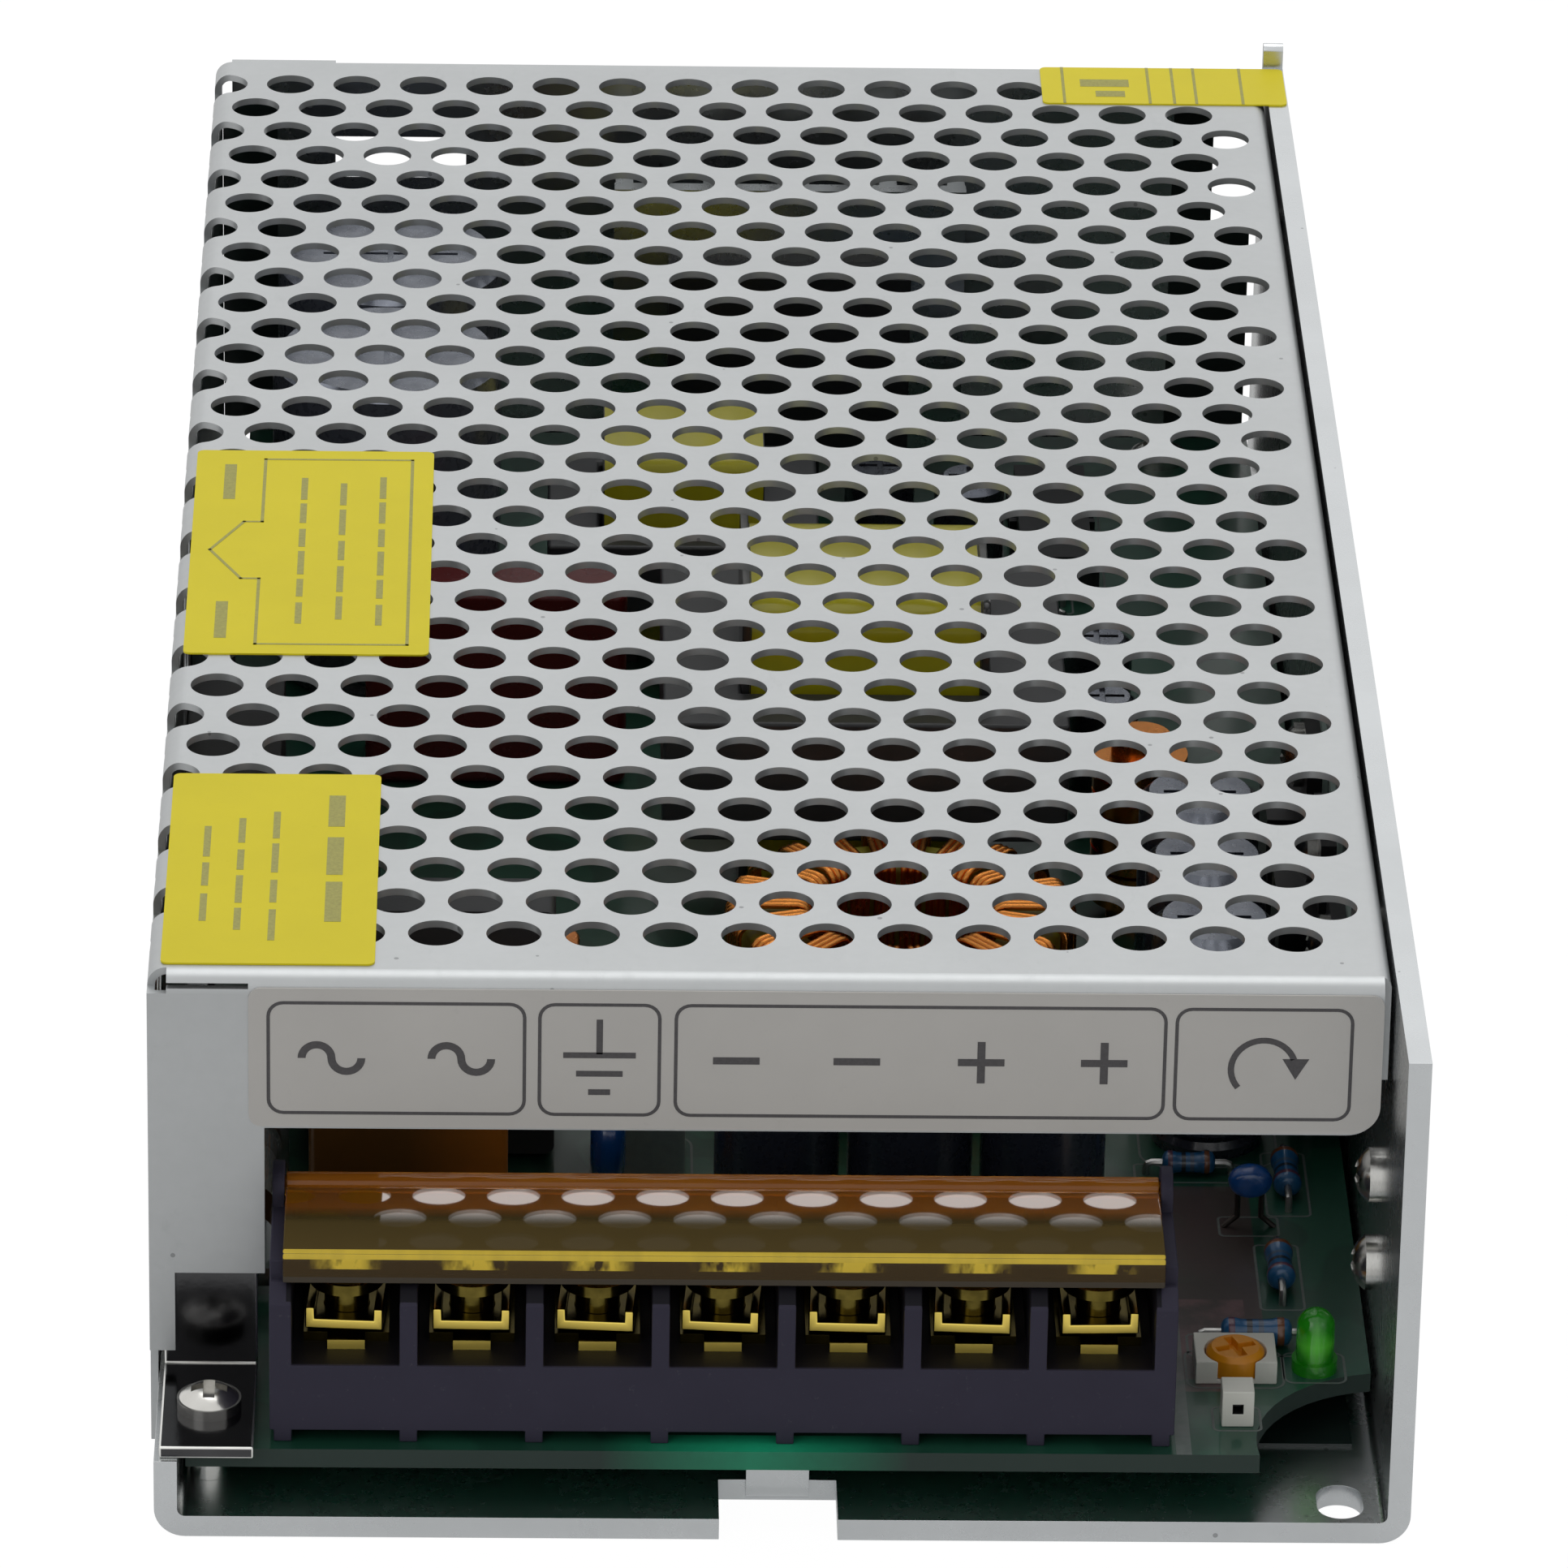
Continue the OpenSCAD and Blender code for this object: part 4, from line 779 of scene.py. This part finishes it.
class OBJECT_OT_psu_terminals(CaseOperator):
    """Finish the terminal block with its brass and its clear flap"""
    bl_idname = "object.psu_terminals"
    bl_label = "Terminal block"

    def execute(self, context):
        terminal = self.settings(context, "terminal")
        low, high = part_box("terminal_block")

        def bay_painted_shade(finish):
            """The room of the ways between the barriers, painted nearly black as shade behind the front."""
            x, y, z = finish.axes(low)
            wall, front, bottom, top = 1.3, 0.25, 6.2, 15.5
            between = (x > wall) * (x < (high.x - low.x) / MM - wall)
            return between * (y > front) * (z > bottom) * (z < top) * 0.92, shade(terminal.moulding, 0.08)

        moulding = moulded("block moulding", terminal.moulding, 0.5, painted_shading=bay_painted_shade, Specular_IOR_Level=0.12)
        rounded_copy("terminal_block", moulding, terminal.rounding)
        tongues = self.brass("tongue brass", terminal.brass, "terminal_plates", 0.35)
        rounded_copy("terminal_plates", tongues, 0.12 * MM)
        self.washers(self.brass("washer brass", terminal.brass, "clamp_washers", 1.2))
        paint(self.brass("screw brass", terminal.brass, "clamp_washers", 0.0), "terminal_screws")
        rounded_copy("terminal_cover", self.flap(terminal), 0.12 * MM)
        return {"FINISHED"}

    @staticmethod
    def brass(name, tone, node, depth):
        """Tarnished brass darkened by painted shade, with a painted highlight where it faces forward, down
        to a depth in mm behind a node's front.
        """
        finish = Finish(name, Metallic=1.0)
        x, y, z = finish.axes(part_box(node)[0])
        # painted highlight: the faces that look forward near the front
        ahead = finish.ramp(finish.facing("Y") * -1.0, (0.80, 0), (0.96, 1)) * (y < depth)
        tarnish = finish.noise(1.6, 4)
        # tarnish and painted shade: dark brown to near black everywhere else
        dark = finish.mix(tarnish, shade(tone, 0.03), shade(tone, 0.34))
        finish.set(Base_Color=finish.mix(ahead, dark, shade(tone, 1.5)),
                   Roughness=0.14 + ahead * 0.22 + tarnish * 0.08)
        return finish.material

    @staticmethod
    def washers(brass):
        """The clamp washers, each turned a little on its screw."""
        turns = (-3.5, -1.0, -4.0, -4.5, -2.0, -3.0, 1.5)
        bm = merged("clamp_washers")
        round_edges(bm, 0.14 * MM)
        for index, (low, high) in enumerate(solids("clamp_washers")):
            verts = [v for v in bm.verts if low.x - MM < v.co.x < high.x + MM]
            turn = Matrix.Rotation(math.radians(turns[index % len(turns)]), 3, "Z")
            bmesh.ops.rotate(bm, verts=verts, cent=(low + high) / 2, matrix=turn)
        piece("clamp_washers_turned", bm, brass, stands_for=("clamp_washers",))

    @staticmethod
    def flap(terminal):
        """Clear amber plastic with a painted highlight along its front line, painted glow and painted shade
        on its top, painted shade on the skirt, and a rear part that mirrors.
        """
        low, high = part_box("terminal_cover")
        screws = [(near.x + far.x) / 2 for near, far in solids("terminal_screws")[:2]]
        first, pitch = (screws[0] - low.x) / MM, (screws[1] - screws[0]) / MM
        finish = Finish("amber plastic", Transmission_Weight=1.0, IOR=1.55, Specular_IOR_Level=0.9)
        x, y, z = finish.axes((low.x, low.y, high.z))
        along = y / 10
        # it sags a little: the shading leans by four degrees at the front edge and by two at the hinge
        sag = finish.bump(y * 0.0787 - y * y * 0.0022, 1.0, 1.0)
        rear = finish.ramp(along, (0.3, 0), (0.8, 1))
        finish.set(Base_Color=finish.mix(rear, terminal.amber, (0.75, 0.34, 0.04)),
                   Roughness=0.01 + finish.noise(6, 4) * 0.03, Normal=sag)
        streak = finish.noise(2.2, 3, stretch=(1, 0.1, 0.1))
        patch = finish.ramp(finish.noise(1.5, 3, stretch=(1, 0.1, 0.5)), (0.38, 0), (0.6, 1))
        # heights from the top down: of the flat part, the painted bright line, the painted brass glint in
        # it, and the foot
        flat, bright, seen, foot = -0.8, -1.15, -1.95, -2.65
        skin = 1.1
        top = z > flat
        # painted light: an orange glow over the rear part of the top, as from light passing through the
        # flap
        painted_glow = top * finish.ramp(along, (0.60, 0), (0.76, 0.5))
        # painted shade: a dark brown laid over the front part of the top, fading towards the rear
        painted_shading = top * finish.ramp(along, (0.50, 0.9), (0.76, 0.0))
        mirror = top * (y < 10.9) * finish.ramp(along, (0.5, 0.0), (0.72, 0.38))
        # painted shade: the skirt is darkened, so the brass behind it shows only dimly
        skirt = (y < skin) * (z < -skin) * 0.72
        edge = (y < skin) * (z < foot) * 0.6
        # painted highlight: the bright line along the front edge, with streaks in it
        line = ((y < 0.35) * (z > bright)).larger((y < 0.75) * top) * (0.6 + streak * 0.5)
        # painted light: a glint of the brass is painted on the skirt in the middle of each way, where the
        # brass behind would shine through
        way = (x - first) / pitch
        middle = ((1.0 - abs(way - round(way)) * 3.4) * 1.5).larger(0.0)
        painted_brass_glint = (y < 0.4) * (z > seen) * (z < bright) * patch * middle
        gloss = {"Color": (0.98, 0.95, 0.93), "Roughness": 0.03, "Normal": sag}
        finish.layered(
            (painted_glow, finish.matt((0.62, 0.20, 0.02))),
            (mirror, finish.add("BsdfGlossy", {}, gloss)),
            (painted_shading, finish.matt((0.12, 0.085, 0.03))),
            (skirt, finish.matt((0.07, 0.04, 0.008))),
            ((line + painted_brass_glint).smaller(0.9), finish.matt(terminal.glint)),
            (edge, finish.matt((0.085, 0.08, 0.07))))
        return finish.material


class OBJECT_OT_psu_adjuster(CaseOperator):
    """Finish the adjuster, the test socket and the indicator"""
    bl_idname = "object.psu_adjuster"
    bl_label = "Adjuster, socket and indicator"

    def execute(self, context):
        low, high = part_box("test_socket")

        def bore_painted_shade(finish):
            """The socket's bore, painted dark as shade."""
            x, y, z = finish.axes((low + high) / 2)
            half = 0.55
            return (abs(x) < half) * (abs(z) < half) * (y > -1.22), (0.004, 0.004, 0.004)

        ivory = (0.68, 0.68, 0.62)
        rounded_copy("adjuster_body", moulded("ivory plastic", ivory, 0.4), 0.12 * MM)
        rounded_copy("test_socket", moulded("socket plastic", ivory, 0.4, painted_shading=bore_painted_shade), 0.1 * MM)
        orange = moulded("orange plastic", (0.72, 0.27, 0.004), 0.3, marks=1.6)
        rounded_copy("adjuster_rotor", orange, 0.1 * MM)
        self.indicator()
        return {"FINISHED"}

    @staticmethod
    def indicator():
        """A green lens with a lit core."""
        low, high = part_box("indicator_led")
        lens = Finish("green lens", Transmission_Weight=0.3, IOR=1.5, Roughness=0.15,
                      Emission_Strength=0.16)
        x, y, z = lens.axes(((low.x + high.x) / 2, low.y, low.z))
        cloud = lens.noise(1.3, 3)
        core = lens.ramp((abs(x) + abs(z - 2.6) * 0.8) / 1.9, (0.0, 1.0), (0.45, 0.55), (1.0, 0.0))
        lens.set(Base_Color=lens.mix(cloud, (0.008, 0.16, 0.006), (0.03, 0.34, 0.015)),
                 Emission_Color=lens.mix(core, (0.0, 0.05, 0.0), (0.22, 0.95, 0.08)))
        paint(lens.material, "indicator_led")


class OBJECT_OT_psu_selector(CaseOperator):
    """Finish the selector switch"""
    bl_idname = "object.psu_selector"
    bl_label = "Selector switch"

    def execute(self, context):
        rounded_copy("selector_body", moulded("black plastic", (0.018, 0.018, 0.02), 0.4), 0.15 * MM)
        rounded_copy("selector_slider", moulded("red plastic", (0.5, 0.03, 0.02), 0.35), 0.15 * MM)
        return {"FINISHED"}


class OBJECT_OT_psu_input_parts(CaseOperator):
    """Finish the parts on the input side of the board"""
    bl_idname = "object.psu_input_parts"
    bl_label = "Input parts"

    def execute(self, context):
        glass = Finish("fuse glass", Transmission_Weight=0.8, IOR=1.5, Roughness=0.05)
        low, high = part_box("fuse")
        x, y, z = glass.axes((low + high) / 2)
        cap = abs(y) > 5.6
        glass.set(Metallic=cap, Base_Color=glass.mix(cap, (0.85, 0.9, 0.88), (0.6, 0.6, 0.62)))
        paint(glass.material, "fuse")
        paint(plated("clip plate", (0.6, 0.6, 0.6), 0.2), "fuse_clips")
        right_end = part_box("inlet_film_capacitor")[1]

        def lit_end(finish):
            """The last 8 mm at the right, brighter towards the end."""
            x, y, z = finish.axes(right_end)
            return (x + 8.0).larger(0.0) * 0.11, (0.50, 0.16, 0.015)

        orange = moulded("orange film", (0.15, 0.065, 0.012), 0.25, painted_shading=lit_end)
        rounded_copy("inlet_film_capacitor", orange, 0.5 * MM, segments=3)
        red = moulded("red film", (0.15, 0.012, 0.012), 0.22)
        rounded_copy("film_capacitor", red, 0.8 * MM, segments=3)
        grey = moulded("grey plastic", (0.30, 0.34, 0.33), 0.4, marks=0.8)
        rounded_copy("grey_capacitor", grey, 0.3 * MM)
        ferrite = moulded("ferrite", (0.045, 0.047, 0.05), 0.35, marks=2)
        rounded_copy("line_choke_core", ferrite, 0.3 * MM)
        copper = plated("enamelled copper", (0.72, 0.26, 0.07), 0.22, 0.5)
        rounded_copy("line_choke_coils", copper, 0.5 * MM, segments=3)
        paint(moulded("green resin", (0.02, 0.05, 0.03), 0.25), "thermistor")
        return {"FINISHED"}


class OBJECT_OT_psu_capacitors(CaseOperator):
    """Finish the round capacitors: sleeve on the side, bare can on top"""
    bl_idname = "object.psu_capacitors"
    bl_label = "Round capacitors"

    def execute(self, context):
        # node, colour of the sleeve, and how far under the top it ends, in millimetres
        cans = (("bulk_capacitors", (0.11, 0.12, 0.15), 1.6),
                ("output_capacitors", (0.022, 0.026, 0.04), 0.9),
                ("small_capacitors", (0.02, 0.02, 0.026), 0.9))
        for node, sleeve, depth in cans:
            finish = Finish(node.replace("_", " ") + " sleeve", Coat_Weight=0.3, Coat_Roughness=0.1)
            x, y, z = finish.axes((0, 0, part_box(node)[1].z))
            bare = (finish.facing() > 0.25) * (z > -depth)
            fine = finish.noise(0.8, 3)
            side = finish.mix(fine, shade(sleeve, 0.8), shade(sleeve, 1.3))
            # painted reflection: the bare tops are mottled between near black and bluish white
            can = finish.mix(finish.noise(3.0, 4), (0.08, 0.09, 0.12), (0.46, 0.49, 0.56))
            finish.set(Base_Color=finish.mix(bare, side, can), Metallic=bare,
                       Roughness=0.22 + fine * 0.12, Normal=finish.bump(fine, 0.2, 0.05))
            paint(finish.material, node)
        return {"FINISHED"}


class OBJECT_OT_psu_transformers(CaseOperator):
    """Finish the two transformers"""
    bl_idname = "object.psu_transformers"
    bl_label = "Transformers"

    def execute(self, context):
        ferrite = moulded("fired ferrite", (0.05, 0.052, 0.056), 0.32, marks=2)
        for node in ("main_core", "drive_core"):
            rounded_copy(node, ferrite, 0.35 * MM)
        for node, half, rail in (("main_coil", 9.6, 3.0), ("drive_coil", 7.0, 2.0)):
            # the black bobbin shows beyond half the tape's width, and as a rail under the tape
            low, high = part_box(node)
            tape = Finish(node.replace("_", " ") + " tape", Coat_Weight=0.4, Coat_Roughness=0.12)
            x, y, z = tape.axes(((low.x + high.x) / 2, (low.y + high.y) / 2, low.z))
            bobbin = (abs(x) > half).larger(z < rail)
            wrap = tape.noise(5, 3, stretch=(1, 0.2, 0.2))
            fine = tape.noise(1.2, 3)
            yellow = tape.mix(wrap, (0.55, 0.50, 0.008), (0.82, 0.74, 0.02))
            tape.set(Base_Color=tape.mix(bobbin, yellow, (0.03, 0.03, 0.03)), Roughness=0.25 + fine * 0.12,
                     Normal=tape.bump(wrap * 0.7 + fine * 0.3, 0.35, 0.15))
            rounded_copy(node, tape.material, 0.25 * MM)
        return {"FINISHED"}


class OBJECT_OT_psu_output_parts(CaseOperator):
    """Finish the chokes and small parts on the output side"""
    bl_idname = "object.psu_output_parts"
    bl_label = "Output parts"

    def execute(self, context):
        copper = plated("choke copper", (0.86, 0.32, 0.07), 0.2, 0.5)
        rounded_copy("choke_core", moulded("olive core", (0.30, 0.27, 0.02), 0.4), 0.8 * MM, segments=3)
        self.winding(copper)
        paint(copper, "rod_choke")
        paint(moulded("chip plastic", (0.016, 0.016, 0.018), 0.35),
              "control_chips", "bridge_rectifier", "power_devices")
        paint(moulded("thermal rubber", (0.28, 0.36, 0.33), 0.6), "thermal_pads")
        return {"FINISHED"}

    @staticmethod
    def winding(copper):
        """The output choke's winding: three strands side by side in each turn."""
        low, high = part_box("choke_winding")
        centre, strand, bend = (low + high) / 2, 0.31 * MM, 1.0 * MM
        boxes = solids("choke_winding")
        turns = len(boxes)
        near, far = max(boxes, key=lambda box: box[1].x)
        middle, half = (near.x + far.x) / 2 - centre.x, (far.x - near.x) / 2 - strand
        tall = (high.z - low.z) / 2 - strand
        bm = bmesh.new()
        for shift in (-1, 0, 1):
            points = []
            for corner, (sx, sz) in enumerate(((1, 1), (-1, 1), (-1, -1), (1, -1))):
                for step in range(4):
                    turn = math.pi / 2 * (corner + step / 3)
                    reach = Vector((math.cos(turn), 0, math.sin(turn))) * bend
                    points.append(centre + reach + Vector((
                        middle + sx * (half - bend), shift * 2 * strand * 0.96, sz * (tall - bend))))
            tube(bm, points, strand, AHEAD, closed=True)
        bmesh.ops.spin(bm, geom=[*bm.verts, *bm.edges, *bm.faces], cent=centre, axis=UP, use_duplicate=True,
                       angle=2 * math.pi * (turns - 1) / turns, steps=turns - 1)
        bmesh.ops.recalc_face_normals(bm, faces=bm.faces)
        piece("choke_strands", bm, copper, stands_for=("choke_winding",), crease=50)


class OBJECT_OT_psu_small_parts(CaseOperator):
    """Finish the resistors and the disc capacitors"""
    bl_idname = "object.psu_small_parts"
    bl_label = "Resistors and disc capacitors"

    def execute(self, context):
        self.resistors()
        self.discs()
        return {"FINISHED"}

    @staticmethod
    def resistors():
        """Waisted blue bodies with colour bands on bent leads."""
        bm = bmesh.new()
        lead = 0.3 * MM
        # (place along the half body, share of its radius, number of the material)
        shape = ((-1.0, 0, 1), (-1.0, 0.5, 1), (-0.92, 0.85, 1), (-0.80, 1, 2), (-0.62, 1, 1),
                 (-0.45, 0.88, 1), (-0.28, 0.86, 3), (-0.12, 0.86, 1), (0.05, 0.86, 4), (0.20, 0.86, 1),
                 (0.45, 0.88, 1), (0.58, 1, 5), (0.78, 1, 1), (0.92, 0.85, 1), (1.0, 0.5, 1), (1.0, 0, 1))
        for low, high in solids("resistors"):
            along = RIGHT if high.x - low.x > high.y - low.y else AHEAD
            gap = 0.1 * MM
            thick = high.z - low.z - gap
            centre = (low + high) / 2
            centre.z = low.z + gap + thick / 2
            reach = (high - low).dot(along) / 2 - lead
            body = reach * 0.62
            stations = [(at * body, share * thick / 2, index) for at, share, index in shape]
            lathe(bm, stations, centre, along)
            for end in (-1, 1):
                points = [centre + along * end * body * 0.98, centre + along * end * (reach - 0.5 * MM),
                          centre + along * end * (reach - 0.15 * MM) - UP * 0.15 * MM,
                          centre + along * end * reach - UP * 0.5 * MM, centre + along * end * reach]
                points[-1].z = low.z
                tube(bm, points, lead, along.cross(UP))
        joined(bm)
        tones = ((0.010, 0.10, 0.25), (0.10, 0.035, 0.07), (0.006, 0.01, 0.02), (0.05, 0.09, 0.16),
                 (0.16, 0.05, 0.015))
        materials = [plated("tinned lead", (0.42, 0.42, 0.41), 0.25)]
        for index, tone in enumerate(tones):
            materials.append(moulded("resistor lacquer %d" % index, tone, 0.28, Coat_Weight=0.3))
        piece("resistor_bodies", bm, materials, slot="blue_resin", stands_for=("resistors",), crease=40)

    @staticmethod
    def discs():
        """Blue discs on dark leads; the small one is oval and stands with its feet apart."""
        bm = bmesh.new()
        lead = 0.24 * MM
        # (place along the thickness, share of the radius)
        shape = ((-0.5, 0), (-0.5, 0.55), (-0.43, 0.8), (-0.25, 0.95), (0, 1), (0.25, 0.95), (0.43, 0.8),
                 (0.5, 0.55), (0.5, 0))
        for low, high in solids("disc_capacitors"):
            across, along = (RIGHT, AHEAD) if high.x - low.x > high.y - low.y else (AHEAD, RIGHT)
            size, thick = (high - low).dot(across), (high - low).dot(along)
            small = size < 5 * MM
            centre = (low + high) / 2
            centre.z = high.z - size / 2
            known = set(bm.verts)
            lathe(bm, [(at * thick, share * size / 2, 0) for at, share in shape], centre, along)
            if small:
                body = [v for v in bm.verts if v not in known]
                bmesh.ops.scale(bm, verts=body, vec=(1, 1, 0.77), space=Matrix.Translation(-centre))
            root, foot = size * 0.27, size * (0.58 if small else 0.31)
            for end in (-1, 1):
                top = centre + across * end * root - UP * size * 0.3
                knee = Vector((top.x, top.y, low.z + 1.0 * MM))
                bend = knee + across * end * (foot - root) * 0.45 - UP * 0.45 * MM
                ground = centre + across * end * foot
                ground.z = low.z
                tube(bm, [top, knee, bend, ground], lead, along, index=1)
        joined(bm)
        blue = moulded("blue resin", (0.005, 0.07, 0.28), 0.22, Coat_Weight=0.4)
        piece("disc_bodies", bm, (blue, plated("dark lead", (0.07, 0.06, 0.055), 0.3)), slot="blue_resin",
              stands_for=("disc_capacitors",), crease=40)


class OBJECT_OT_psu_stage(CaseOperator):
    """Set up the floor, the light and the camera"""
    bl_idname = "object.psu_stage"
    bl_label = "Floor, light and camera"

    def execute(self, context):
        stage = self.settings(context, "stage")
        low, high = CAD_BOX
        middle = (Vector(low) + Vector(high)) / 2
        self.camera(context, stage)
        self.floor(context, stage, low[2] - 0.1 * MM)
        self.sky(context, stage)
        # a broad lamp above and behind, and a weaker one at the front left: place, size and power
        lamps = (("top lamp", (0.1, 0.55, 1.5), 1.6, 9.0), ("front lamp", (-0.9, -1.2, 0.8), 0.9, 2.0))
        for name, place, size, power in lamps:
            lamp = bpy.data.lights.new(name, "AREA")
            lamp.shape = "DISK"
            lamp.size = size
            lamp.energy = power
            obj = bpy.data.objects.new(name, lamp)
            obj.location = place
            obj.rotation_euler = (middle - Vector(place)).to_track_quat("-Z", "Y").to_euler()
            context.scene.collection.objects.link(obj)
        context.scene.view_settings.view_transform = "Standard"
        return {"FINISHED"}

    @staticmethod
    def camera(context, stage):
        """A long lens from the front and above."""
        camera = bpy.data.cameras.new("camera")
        camera.lens = stage.lens
        camera.sensor_width = 36
        camera.clip_end = 20
        obj = bpy.data.objects.new("camera", camera)
        level = Euler((math.pi / 2 - stage.elevation, 0, -stage.azimuth)).to_quaternion()
        obj.rotation_mode = "QUATERNION"
        obj.rotation_quaternion = level @ Quaternion(UP, stage.roll)
        obj.location = stage.place
        context.scene.collection.objects.link(obj)
        context.scene.camera = obj

    @staticmethod
    def floor(context, stage, height):
        """A matt floor that the camera sees as white, with the object's shadow on it."""
        bm = bmesh.new()
        bmesh.ops.create_grid(bm, x_segments=1, y_segments=1, size=4)
        mesh = bpy.data.meshes.new("floor")
        bm.to_mesh(mesh)
        bm.free()
        floor = bpy.data.objects.new("floor", mesh)
        floor.location.z = height
        context.scene.collection.objects.link(floor)
        finish = Finish("floor", Base_Color=tuple(stage.floor), Roughness=0.6)
        white = finish.add("Emission", {}, {"Color": (1, 1, 1), "Strength": 1.05})
        finish.layered((finish.seen(0.45) * 0.93, white))
        mesh.materials.append(finish.material)
        floor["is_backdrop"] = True

    @staticmethod
    def sky(context, stage):
        """A plain sky that the camera, mirrors and glass see as white."""
        world = bpy.data.worlds.new("sky")
        world.use_nodes = True
        context.scene.world = world
        nodes = Nodes(world.node_tree)
        plain, white = (nodes.add("Background", {}, {"Color": (1, 1, 1), "Strength": strength})
                        for strength in (stage.sky, 1.0))
        nodes.surface(nodes.add("MixShader", {}, {0: nodes.seen(1.0), 1: plain, 2: white}), "World")


class VIEW3D_PT_psu(bpy.types.Panel):
    """The power supply's settings and steps"""
    bl_label = "Power supply"
    bl_space_type = "VIEW_3D"
    bl_region_type = "UI"
    bl_category = "Power supply"

    def draw(self, context):
        for key, group in GROUPS.items():
            box = self.layout.box()
            box.label(text=group.__name__.replace("Settings", ""))
            for name in group.__annotations__:
                box.prop(getattr(context.scene, "power_supply_" + key), name)
        for step in STEPS:
            self.layout.operator(step.bl_idname)


GROUPS = {"sheet": SheetSettings, "prints": PrintSettings, "terminal": TerminalSettings,
          "board": BoardSettings, "stage": StageSettings}
STEPS = (OBJECT_OT_psu_stage, OBJECT_OT_psu_sheets, OBJECT_OT_psu_screws, OBJECT_OT_psu_label,
         OBJECT_OT_psu_stickers, OBJECT_OT_psu_board, OBJECT_OT_psu_bracket, OBJECT_OT_psu_terminals,
         OBJECT_OT_psu_adjuster, OBJECT_OT_psu_selector, OBJECT_OT_psu_input_parts,
         OBJECT_OT_psu_capacitors, OBJECT_OT_psu_transformers, OBJECT_OT_psu_output_parts,
         OBJECT_OT_psu_small_parts)


def register():
    for key, group in GROUPS.items():
        bpy.utils.register_class(group)
        setattr(bpy.types.Scene, "power_supply_" + key, bpy.props.PointerProperty(type=group))
    for step in STEPS:
        bpy.utils.register_class(step)
    bpy.utils.register_class(VIEW3D_PT_psu)


def unregister():
    bpy.utils.unregister_class(VIEW3D_PT_psu)
    for step in reversed(STEPS):
        bpy.utils.unregister_class(step)
    for key, group in GROUPS.items():
        delattr(bpy.types.Scene, "power_supply_" + key)
        bpy.utils.unregister_class(group)


def main():
    register()
    for step in STEPS:
        prefix, name = step.bl_idname.split(".")
        getattr(getattr(bpy.ops, prefix), name)()
    boxes = {"cad": CAD_BOX, "visual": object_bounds()}
    {key: [list(corner) for corner in box] for key, box in boxes.items()}


if __name__ == "__main__":
    main()
